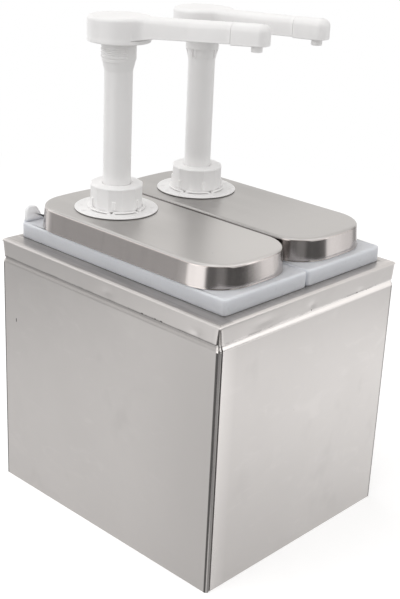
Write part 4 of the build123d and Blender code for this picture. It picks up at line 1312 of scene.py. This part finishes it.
class STATION_OT_pump_mounts(bpy.types.Operator):
    """Makes the flange, gasket, nut and collar that hold each pump in its lid"""

    bl_idname = "station.pump_mounts"
    bl_label = "Pump flanges and collars"

    def execute(self, context):
        sizes = context.scene.station_pumps
        plastic = moulded("moulded_mount", sizes.plastic, 0.34, 0.35)
        rubber = soft_rubber("gasket_rubber", sizes.rubber)
        rise = context.scene.station_lids.rise
        for side in SIDES:
            body = f"{side}_lid_unit"
            for name, parts, material, slot in (
                ("pump_flange", flange_parts(side, sizes, rise), plastic, "pump_plastic"),
                ("flange_gasket", gasket_parts(side), rubber, "seal_rubber"),
                ("flange_nut", nut_parts(side), plastic, "pump_plastic"),
                ("collar", collar_parts(side, sizes, rise), plastic, "pump_plastic"),
            ):
                build(f"{side}_{name}_look", parts, material, body, [f"{side}_{name}"])
        return {"FINISHED"}


class STATION_OT_barrels(bpy.types.Operator):
    """Makes the cylinder, bush, valve cage and suction pipe of each pump"""

    bl_idname = "station.barrels"
    bl_label = "Pump cylinders and pipes"

    def execute(self, context):
        sizes = context.scene.station_pumps
        plastic = moulded("moulded_barrel", sizes.plastic, 0.30, 0.2)
        for side in SIDES:
            body = f"{side}_lid_unit"
            turn = context.scene.station_heads.turn_left if side == "left" else 0.0
            for name, parts in (
                ("cylinder", cylinder_parts(side, sizes)),
                ("guide_bush", bush_parts(side, sizes)),
                ("valve_cage", cage_parts(side, sizes)),
                ("dip_tube", pipe_parts(side, turn)),
            ):
                build(f"{side}_{name}_look", parts, plastic, body, [f"{side}_{name}"])
        return {"FINISHED"}


# ------------------------------------------------------------------ plungers

THREAD_ARC = 124.0  # degrees of the neck that carry thread ridges
RELIEF_RIBS = (229.0, 243.0, 327.0)  # degrees from the thread's start to the upright ribs


def neck_radius(level, bearing, tube, neck, cone_foot, neck_foot):
    """Radius in mm of the plunger tube's neck, whose two halves are unlike.

    Over one half a cone leads to the neck, and on 124 degrees of it ridges add
    0.75 exp(-((z - crest) / 0.75)^2) mm. The other half keeps the tube's radius, then a
    relieved one with upright ribs, then the full neck.
    """
    cone = tube + (neck - tube) * np.clip((level - cone_foot) / (neck_foot - cone_foot), 0, 1)
    on_thread = np.clip(bearing / 4, 0, 1) * np.clip((THREAD_ARC - bearing) / 4, 0, 1)
    mid_thread = np.clip((bearing - 30) / 20, 0, 1) * np.clip((110 - bearing) / 20, 0, 1)
    ridges = sum(np.exp(-(((level - neck_foot - up) / 0.75) ** 2)) for up in (7.0, 4.2, 1.3))
    lowest = np.exp(-(((level - neck_foot + 2.2) / 0.75) ** 2)) * mid_thread
    grooved = np.where((level > neck_foot - 0.6) & (level < neck_foot + 8.4), 0.25, 0.0)
    threaded = cone + on_thread * (0.75 * ridges - grooved + 0.4 * lowest)
    on_rib = np.min([np.abs(bearing - rib) for rib in RELIEF_RIBS], axis=0) < 3.0
    relieved = np.where(level < cone_foot + 2.4, tube, 12.5 + on_rib)
    relieved = np.where(level > neck_foot - 0.9, neck, relieved)
    return np.where(bearing < 180, threaded, relieved)


def stem_parts(side, sizes):
    """Plunger tube: its outside up to the neck by (height, bearing), then its bore and web."""
    node = f"{side}_stem"
    centre = plan_centre(f"{side}_collar")
    foot, top = low(node)[2] / MM, high(node)[2] / MM
    hub_foot = low(f"{side}_head")[2] / MM
    neck_foot = hub_foot - 13.3
    cone_foot = neck_foot - 10.4
    tube, neck = sizes.tube / 2 / MM, sizes.neck / 2 / MM
    start = {"left": 133.0, "right": 313.0}[side]
    crisp = [0.001, 0.3, THREAD_ARC - 0.3, 179.8, 180.2, 359.8]
    crisp += [rib + shift for rib in RELIEF_RIBS for shift in (-3.3, -2.7, 2.7, 3.3)]
    bearing = np.unique(np.concatenate([np.arange(0, 360, 2.5), crisp]))
    level = np.concatenate([
        [foot + 0.5, foot + 1.0], np.linspace(foot + 4, cone_foot - 2, 10),
        np.arange(cone_foot - 1, neck_foot + 9, 0.2), [hub_foot - 3.5, hub_foot, top - 0.5],
    ])[:, None]
    radius = neck_radius(level, bearing, tube, neck, cone_foot, neck_foot)
    angle = np.radians(bearing + start)
    outer = round_axis(centre, radius * MM, angle, level * MM)
    bore, hole = 7.0, VALVE_HOLE / MM
    web = low(f"{side}_outlet_ball")[2] / MM + 15.0
    inner = np.array([
        (neck - 0.5, top), (bore + 0.3, top), (bore, top - 0.3), (bore, web + 2), (hole, web + 2), (hole, web),
        (bore, web), (bore, foot + 0.4), (bore + 0.4, foot), (tube - 0.5, foot),
    ]) * MM
    rows = round_axis(centre, inner[:, :1], angle, inner[:, 1:])
    return [skin(np.concatenate([outer, rows]), closed=True)]


def spring_parts(side, wire=1.6 * MM, turns=9):
    """Round wire along a helix: the wire's ring lies in the plane across the helix."""
    node = f"{side}_spring"
    centre = plan_centre(node)
    foot, top = low(node)[2], high(node)[2]
    radius = (high(node)[0] - low(node)[0]) / 2 - wire / 2
    lift = top - foot - wire
    share = np.linspace(0, 1, turns * 40 + 1)[:, None]
    angle = 2 * math.pi * turns * share
    slope = math.atan2(lift, 2 * math.pi * turns * radius)
    reach = radius + wire / 2 * np.cos(full_turn(12))
    up = wire / 2 * np.sin(full_turn(12))
    x = reach * np.cos(angle) + up * math.sin(slope) * np.sin(angle)
    y = reach * np.sin(angle) - up * math.sin(slope) * np.cos(angle)
    z = foot + wire / 2 + lift * share + up * math.cos(slope)
    return [skin(capped(np.stack([centre[0] + x, centre[1] + y, z], axis=-1)))]


def piston_parts(side, sizes):
    """Piston with a groove for its seal and a spigot that stands in the plunger tube."""
    node = f"{side}_piston"
    foot, top = low(node)[2], high(node)[2]
    outside, spigot = sizes.barrel / 2 - 0.3 * MM, 6.9 * MM
    crown, groove, upper, deep = foot + 12 * MM, foot + 4.5 * MM, foot + 7.5 * MM, outside - 1.5 * MM
    profile = [
        (VALVE_HOLE, foot), (outside, foot), (outside, groove), (deep, groove), (deep, upper),
        (outside, upper), (outside, crown), (spigot, crown), (spigot, top), (VALVE_HOLE, top),
    ]
    return [turned(plan_centre(node), soften(profile, 0.3 * MM))]


def seal_parts(side, sizes):
    """Seal ring in the piston's groove, a soft rectangle turned about the pump's axis."""
    node = f"{side}_piston_seal"
    foot, top = low(node)[2], high(node)[2]
    outside = sizes.barrel / 2 - PUSH_FIT
    inside = outside - 1.6 * MM
    profile = soften([(inside, foot), (outside, foot), (outside, top), (inside, top)], 0.6 * MM)
    return [turned(plan_centre(node), profile)]


def ball_parts(node):
    """Sphere: radius r cos(a) at height r sin(a)."""
    radius = (high(node)[2] - low(node)[2]) / 2
    middle = (high(node)[2] + low(node)[2]) / 2
    rise = np.linspace(-math.pi / 2, math.pi / 2, 33)
    profile = np.column_stack([radius * np.cos(rise), middle + radius * np.sin(rise)])
    return [turned(plan_centre(node), profile, 64, closed=False)]


class STATION_OT_plungers(bpy.types.Operator):
    """Makes the tube, spring, piston, seal and valve balls of each pump"""

    bl_idname = "station.plungers"
    bl_label = "Plungers, springs and valves"

    def execute(self, context):
        sizes = context.scene.station_pumps
        tube = moulded("moulded_tube", sizes.plastic, 0.30, 0.55)
        plain = moulded("moulded_piston", sizes.plastic, 0.36, 0.1)
        rubber = soft_rubber("seal_rubber", sizes.rubber)
        wire = bright_wire("spring_wire", sizes.wire, 0.26)
        ball = bright_wire("ground_ball", sizes.wire, 0.14)
        for side in SIDES:
            for name, parts, material, body, slot in (
                ("stem", stem_parts(side, sizes), tube, "pump_head", "tube_plastic"),
                ("spring", spring_parts(side), wire, "lid_unit", "spring_steel"),
                ("piston", piston_parts(side, sizes), plain, "plunger", "pump_plastic"),
                ("piston_seal", seal_parts(side, sizes), rubber, "plunger", "seal_rubber"),
                ("inlet_ball", ball_parts(f"{side}_inlet_ball"), ball, "suction_ball", "ball_steel"),
                ("outlet_ball", ball_parts(f"{side}_outlet_ball"), ball, "delivery_ball", "ball_steel"),
            ):
                node = f"{side}_{name}"
                piece = build(f"{node}_look", parts, material, f"{side}_{body}", [node])
                if name == "spring":
                    anchor = (*plan_centre(node), high(f"{side}_valve_cage")[2])
                    span = high(node)[2] - anchor[2]
                    (span - 92 * MM) / span
                    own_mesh(piece)
        return {"FINISHED"}


# ------------------------------------------------------------------ heads

HUB_HEIGHT = 20.2 * MM
ARM_REACH = 104.5 * MM  # pump axis to the seam of the nozzle


def arm_frame(side, sizes):
    """Axes of an arm in the frame: across it, along it to the nozzle, and up."""
    turn = sizes.turn_left if side == "left" else 0.0
    across = (math.cos(turn), math.sin(turn), 0.0)
    along = (math.sin(turn), -math.cos(turn), 0.0)
    return np.array([across, along, (0.0, 0.0, 1.0)])


def arm_top(along, hub_top, rise):
    """Height of the top: level over the hub, then rising, with a soft bend 8 mm out.

    The bend is slope * (d + sqrt(d^2 + 4)) / 2 for a distance d beyond it, in mm.
    """
    beyond = np.asarray(along) / MM - 8.0
    return hub_top + math.tan(rise) * (beyond + np.sqrt(beyond**2 + 4.0)) / 2 * MM


def rounded_body(line, normal, edge, top, bottom, foot_edge, spine):
    """Long body that mirrors about its middle line.

    line holds the right half of the plan outline and normal its outward normals. Each point
    carries one section: from the middle of the underside to the foot, up the wall, over
    an edge of the given radius as inset edge (1 - cos a) and drop edge (1 - sin a), and
    along the top to the middle line at spine. top and bottom give the height at a distance
    along; the left half is the mirror image, and the first section is closed by its face.
    """
    middle = np.column_stack([0 * spine, spine])

    def drawn_in(inset):
        return line - normal * inset[:, None]

    def row(flat, height, lift=0.0):
        return np.column_stack([flat, height(flat[:, 1]) + lift])

    rows = [row(middle + (drawn_in(foot_edge) - middle) * share, bottom) for share in (0, 0.35, 0.7)]
    for a in quarter(8)[::3]:
        rows.append(row(drawn_in(foot_edge * (1 - math.sin(a))), bottom, foot_edge * (1 - math.cos(a))))
    wall_foot = rows[-1][:, 2]
    wall_top = top(line[:, 1]) - edge
    rows += [np.column_stack([line, wall_foot + (wall_top - wall_foot) * share]) for share in (0.2, 0.5, 0.8)]
    for a in quarter(8):
        rows.append(row(drawn_in(edge * (1 - math.cos(a))), top, edge * (math.sin(a) - 1)))
    rim = drawn_in(edge)
    rows += [row(rim + (middle - rim) * share, top) for share in (0.08, 0.3, 0.55, 0.8, 1.0)]
    grid = np.array(rows)
    mirror = grid * (-1, 1, 1)
    face = np.stack([grid[:, 0], mirror[:, 0]])
    return [patch(grid), patch(mirror), patch(face)]


def plan_of_head(sizes, hub, reach):
    """Right half of a head's plan from the nozzle's end: the arm's side, an arc, the hub's circle.

    With n the side's outward normal, the arc's centre lies hub + blend from the axis and
    blend off the side, so it is n (blend + root / 2 n_x) plus the rest of the way along it.
    Gives the points, their outward normals and how many points come before the circle.
    """
    blend = sizes.blend
    way = np.array([(sizes.tip - sizes.root) / 2, reach])
    way = way / np.linalg.norm(way)
    out = np.array([way[1], -way[0]])
    offset = blend + out[0] * sizes.root / 2
    arc_centre = out * offset + way * math.sqrt((hub + blend) ** 2 - offset**2)
    on_side = arc_centre - out * blend
    on_hub = arc_centre * hub / (hub + blend)
    straight = np.linspace((sizes.tip / 2, reach), on_side, 22)
    start = math.atan2(*(on_side - arc_centre)[::-1])
    swing = (math.atan2(*(on_hub - arc_centre)[::-1]) - start + math.pi) % (2 * math.pi) - math.pi
    turn = (start + swing * np.linspace(0, 1, 15)[1:])[:, None]
    arc_normal = -np.hstack([np.cos(turn), np.sin(turn)])
    bearing = np.linspace(math.atan2(on_hub[1], on_hub[0]), -math.pi / 2, 49)[:, None]
    round_normal = np.hstack([np.cos(bearing), np.sin(bearing)])
    line = np.concatenate([straight, arc_centre - arc_normal * blend, round_normal * hub])
    normal = np.concatenate([np.tile(out, (len(straight), 1)), arc_normal, round_normal])
    line[-1] = (0, -hub)
    normal[[0, -1]] = (1, 0), (0, -1)
    return line, normal, len(straight) + len(turn)


def head_parts(side, sizes):
    """Hub and arm as one long body, with the hub's cup and boss turned inside it.

    The underside rises from the root's level to the arm's over the blend.
    """
    node = f"{side}_head"
    centre = plan_centre(f"{side}_collar")
    foot = low(node)[2]
    hub_top, root = foot + HUB_HEIGHT, foot + 3.0 * MM
    hub, reach = sizes.hub / 2, ARM_REACH
    line, normal, before_circle = plan_of_head(sizes, hub, reach)
    along = line[:, 1]
    edge = (2.9 + 2.7 * np.clip((along - hub * 0.5) / (0.5 * reach), 0, 1)) * MM
    spine = np.where(along > 0, along, along * 0.72)
    foot_edge = np.where(np.arange(len(line)) < before_circle, 0.9, 0.2) * MM
    ramp_from, ramp_to = hub - 6 * MM, hub + sizes.blend

    def top(distance):
        return arm_top(distance, hub_top, sizes.rise)

    def bottom(distance):
        share = np.clip((np.asarray(distance) - ramp_from) / (ramp_to - ramp_from), 0, 1)
        ramp = root + (top(ramp_to) - sizes.depth - root) * share
        return np.where(np.asarray(distance) > ramp_to, top(distance) - sizes.depth, ramp)

    body = rounded_body(line, normal, edge, top, bottom, foot_edge, spine)
    wall, boss, bore = hub - 2.6 * MM, 17.0 * MM, 14.4 * MM
    ceiling, socket = foot + 4.6 * MM, foot + 6.5 * MM
    roof, within, join = ceiling + 4.0 * MM, hub - 1.2 * MM, root + 0.05 * MM
    cup = [
        (hub, join), (hub, foot), (wall, foot), (wall, ceiling), (boss, ceiling), (boss, foot), (bore, foot),
        (bore, socket), (0, socket), (0, roof), (within, roof), (within, join),
    ]
    radii = np.array([0, 0.9, 0.5, 0.3, 0.3, 0.5, 0.5, 0, 0, 0, 0, 0]) * MM
    axes = arm_frame(side, sizes)
    parts = [(points @ axes + (*centre, 0), quads) for points, quads in body]
    return [*parts, turned(centre, soften(cup, radii), 144)]


def nozzle_parts(side, sizes):
    """Arm's end piece: a body with round edges and nose, and the spout under it."""
    centre = plan_centre(f"{side}_collar")
    hub_top = low(f"{side}_head")[2] + HUB_HEIGHT
    start, tip, spout_at = ARM_REACH + 0.3 * MM, 134.0 * MM, 124.0 * MM
    half, nose, depth = sizes.tip / 2, 6.6 * MM, sizes.depth + 0.8 * MM
    straight = np.linspace((half, start), (half, tip - nose), 14)
    turn = quarter(14)[1:]
    round_normal = np.column_stack([np.cos(turn), np.sin(turn)])
    line = np.concatenate([straight, (half - nose, tip - nose) + round_normal * nose, [(0, tip)]])
    normal = np.concatenate([np.tile((1.0, 0.0), (len(straight), 1)), round_normal, [(0.0, 1.0)]])
    along = line[:, 1]
    edge = (5.6 + 0.7 * np.clip((along - start) / (tip - start), 0, 1)) * MM
    spine = np.minimum(along, tip - 0.5 * nose)

    def top(distance):
        return arm_top(distance, hub_top, sizes.rise)

    body = rounded_body(line, normal, edge, top, lambda d: top(d) - depth, 0 * along + 1.0 * MM, spine)
    axes = arm_frame(side, sizes)
    parts = [(points @ axes + (*centre, 0), quads) for points, quads in body]
    bore, outside, end = 2.6 * MM, 4.4 * MM, low(f"{side}_nozzle")[2] + 1.3 * MM
    root = float(top(spout_at)) - depth + 3 * MM
    profile = soften([(bore, end), (outside, end), (outside, root), (bore, root)], np.array([0.2, 0.5, 0, 0]) * MM)
    return [*parts, turned(centre + (axes[1] * spout_at)[:2], profile, 64)]


class STATION_OT_heads(bpy.types.Operator):
    """Makes each pump's hub with its arm, and the nozzle at the arm's end"""

    bl_idname = "station.heads"
    bl_label = "Heads and nozzles"

    def execute(self, context):
        sizes = context.scene.station_heads
        plastic = moulded("moulded_head", sizes.colour, 0.27)
        for side in SIDES:
            for name, parts in (("head", head_parts(side, sizes)), ("nozzle", nozzle_parts(side, sizes))):
                build(f"{side}_{name}_look", parts, plastic, f"{side}_pump_head", [f"{side}_{name}"])
        return {"FINISHED"}


# ------------------------------------------------------------------ stage

DARK_TO_PALE = (0.34, 0.48)  # brightness of the surround between a dark gap and a screen


def surround(nodes, x, y):
    """What stands round the stage, by bearing: pale screens with dark gaps between them.

    The stops are (degrees from +X, brightness) before the common gain.
    """
    stops = (
        (180, 1.0), (197, 1.0), (203, 0.11), (222, 0.11), (230, 0.17), (244, 0.17), (256, 0.06), (290, 0.06),
        (307, 0.12), (313, 0.78), (319, 0.78), (323, 0.60), (334, 0.60), (343, 0.28), (355, 0.28), (370, 0.65),
        (470, 0.65), (482, 0.31), (508, 0.31), (514, 0.95), (540, 1.0),
    )
    bearing = y.combine("ARCTAN2", y, x) * (0.5 / math.pi) + 0.5
    return 1.7 * nodes.ramp(bearing, [((degrees - 180) / 360, level) for degrees, level in stops])


def studio_world(context, ambient):
    """White to the camera and through glass, screens to gloss, an even grey light elsewhere.

    The screens end where the sky begins, lower down in front of a dark gap. A mirror sees a
    lamp and the sky behind it together, so the sky is dark behind both lamps.
    """
    world = bpy.data.worlds.new("studio")
    context.scene.world = world
    world.use_nodes = True
    nodes = Nodes(world.node_tree)
    nodes.tree.nodes.clear()
    x, y, z = nodes.axes(nodes.node("ShaderNodeTexCoord", output="Generated"))
    screens = surround(nodes, x, y)
    gap = 1 - screens.ease(*DARK_TO_PALE)
    sky = (z - 0.14 * gap).ease(0.26, 0.52)
    behind_key = (-0.47 * x + 0.40 * y + 0.79 * z).ease(0.78, 0.90)
    behind_fill = (0.27 * x - 0.85 * y + 0.45 * z).ease(0.88, 0.96)
    gloss = screens * (1 - sky) + sky * (1.03 + 0.10 * z.ease(0.5, 0.9))
    gloss = gloss * (1 - 0.95 * behind_key) * (1 - 0.80 * behind_fill)
    glow = ambient * (1.0 + 0.05 * y - 0.12 * x + 0.07 * z)

    def background(colour, strength):
        return nodes.node("ShaderNodeBackground", None, {"Color": (*colour, 1.0), "Strength": strength})

    seen, mirrored = nodes.rays()
    light = nodes.mix(mirrored, background((1.0, 0.99, 0.98), glow), background((1.0, 0.985, 0.97), gloss))
    out = nodes.tree.nodes.new("ShaderNodeOutputWorld")
    nodes.feed(out.inputs["Surface"], nodes.mix(seen, light, background((1, 1, 1), 1.0)))


def pale_floor(half=14.0):
    """Floor: matt for bounced light; white to the camera apart from the object's shadow.

    To gloss it is as lit, brighter to the front right, and it ends in the screens' colours.
    reach is the distance from the middle and across the distance to the front right.
    """
    mesh = bpy.data.meshes.new("floor")
    mesh.from_pydata([(-half, -half, 0), (half, -half, 0), (half, half, 0), (-half, half, 0)], [], [(0, 1, 2, 3)])
    floor = bpy.data.objects.new("floor", mesh)
    bpy.context.scene.collection.objects.link(floor)
    paint = Paint("pale_floor")
    out = next(n for n in paint.tree.nodes if n.type == "OUTPUT_MATERIAL")
    paint.tree.nodes.remove(paint.shader)
    soil = paint.noise(3, 4)
    reach = (paint.x**2 + paint.y**2) ** 0.5
    across = 0.68 * paint.x - 0.73 * paint.y

    def matt(dark, bright):
        return paint.node("ShaderNodeBsdfDiffuse", None, {"Color": paint.blend((dark,) * 3, (bright,) * 3, soil)})

    def glow(strength):
        return paint.node("ShaderNodeEmission", None, {"Color": (1, 1, 1, 1), "Strength": strength})

    def both(first, second):
        return paint.node("ShaderNodeAddShader", None, {0: first, 1: second})

    lean = 0.82 + 0.50 * across.ease(-0.05, 0.60) - 0.20 * across.ease(0.52, 0.80)
    lean = lean - 0.08 * reach.ease(0.36, 0.50) * (1 - across.ease(-0.3, -0.1))
    screens = surround(paint, paint.x, paint.y)
    gap = (1 - screens.ease(*DARK_TO_PALE)) * reach.ease(0.24, 0.34) * (1 - across.ease(0.05, 0.16))
    near = paint.mix(gap, both(matt(0.40, 0.44), glow(lean - 0.34)), glow(0.12))
    far = screens * (1 - 0.28 * across.ease(0.45, 0.60) * (1 - reach.ease(0.8, 1.0)))
    mirror = paint.mix(reach.ease(0.55, 0.72), near, glow(far))
    white = paint.mix(reach.ease(0.5, 1.2), both(matt(0.78, 0.82), glow(0.42)), glow(1.0))
    seen, mirrored = paint.rays()
    paint.feed(out.inputs["Surface"], paint.mix(seen, paint.mix(mirrored, matt(0.56, 0.60), mirror), white))
    mesh.materials.append(paint.material)


def turned_to(right, up, back, place):
    """Matrix whose columns are an object's three axes and its place."""
    pose = np.eye(4)
    pose[:3] = np.column_stack([right, up, back, place])
    return Matrix(pose.tolist())


def studio_camera(context):
    """Camera from its place, its heading, dip and roll in radians, and its focal length in pixels."""
    heading, dip, roll = 0.822978, 0.378593, 0.0467017
    place, focal, picture_height = (-0.6743207, -0.6307623, 0.5517884), 1139.149, 599
    level = np.array([math.cos(heading), -math.sin(heading), 0.0])
    ahead = np.array([math.sin(heading) * math.cos(dip), math.cos(heading) * math.cos(dip), -math.sin(dip)])
    upward = np.cross(level, ahead)
    right = math.cos(roll) * level + math.sin(roll) * upward
    up = -math.sin(roll) * level + math.cos(roll) * upward
    lens = bpy.data.cameras.new("camera")
    lens.sensor_fit = "VERTICAL"
    lens.sensor_height = 36.0
    lens.lens = focal * lens.sensor_height / picture_height
    lens.clip_end = 50
    lens.dof.use_dof = False
    camera = bpy.data.objects.new("camera", lens)
    context.scene.collection.objects.link(camera)
    camera.matrix_world = turned_to(right, up, -ahead, place)
    context.scene.camera = camera


def soft_light(context, name, place, aim, size, power):
    """Square area light at a place, facing a point."""
    lamp = bpy.data.lights.new(name, "AREA")
    lamp.size = size
    lamp.energy = power
    light = bpy.data.objects.new(name, lamp)
    context.scene.collection.objects.link(light)
    back = np.asarray(place, float) - aim
    back /= np.linalg.norm(back)
    right = np.cross((0, 0, 1), back)
    right /= np.linalg.norm(right)
    light.matrix_world = turned_to(right, np.cross(back, right), back, place)


class STATION_OT_stage(bpy.types.Operator):
    """Sets the floor, the soft light and the camera"""

    bl_idname = "station.stage"
    bl_label = "Stage"

    def execute(self, context):
        sizes = context.scene.station_stage
        context.scene.view_settings.view_transform = "Standard"
        studio_world(context, sizes.ambient)
        pale_floor()
        studio_camera(context)
        soft_light(context, "key", (-1.05, 0.90, 1.75), (0, 0, 0.2), 3.6, sizes.key)
        soft_light(context, "fill", (0.55, -1.75, 1.2), (0, 0, 0.3), 2.0, sizes.fill)
        return {"FINISHED"}


# ------------------------------------------------------------------ panel and run

OPERATORS = (
    STATION_OT_stage,
    STATION_OT_housing,
    STATION_OT_jars,
    STATION_OT_lids,
    STATION_OT_pump_mounts,
    STATION_OT_barrels,
    STATION_OT_plungers,
    STATION_OT_heads,
)

SETTINGS = {
    "station_stage": StageSettings,
    "station_housing": HousingSettings,
    "station_jars": JarSettings,
    "station_lids": LidSettings,
    "station_pumps": PumpSettings,
    "station_heads": HeadSettings,
}


class STATION_PT_panel(bpy.types.Panel):
    """Lists the pieces of the station"""

    bl_idname = "STATION_PT_panel"
    bl_label = "Topping station"
    bl_space_type = "VIEW_3D"
    bl_region_type = "UI"
    bl_category = "Topping station"

    def draw(self, context):
        for operator in OPERATORS:
            self.layout.operator(operator.bl_idname)
        for name, group in SETTINGS.items():
            box = self.layout.box()
            for field in group.__annotations__:
                box.prop(getattr(context.scene, name), field)


def register():
    """Registers the settings, the operators and the panel."""
    for group in SETTINGS.values():
        bpy.utils.register_class(group)
    for name, group in SETTINGS.items():
        setattr(bpy.types.Scene, name, PointerProperty(type=group))
    for operator in OPERATORS:
        bpy.utils.register_class(operator)
    bpy.utils.register_class(STATION_PT_panel)


def unregister():
    """Takes all of it out again, the last first."""
    bpy.utils.unregister_class(STATION_PT_panel)
    for operator in reversed(OPERATORS):
        bpy.utils.unregister_class(operator)
    for name, group in SETTINGS.items():
        delattr(bpy.types.Scene, name)
        bpy.utils.unregister_class(group)


def main():
    """Builds the stage and every piece."""
    register()
    bpy.ops.station.stage()
    bpy.ops.station.housing()
    bpy.ops.station.jars()
    bpy.ops.station.lids()
    bpy.ops.station.pump_mounts()
    bpy.ops.station.barrels()
    bpy.ops.station.plungers()
    bpy.ops.station.heads()


if __name__ == "__main__":
    main()
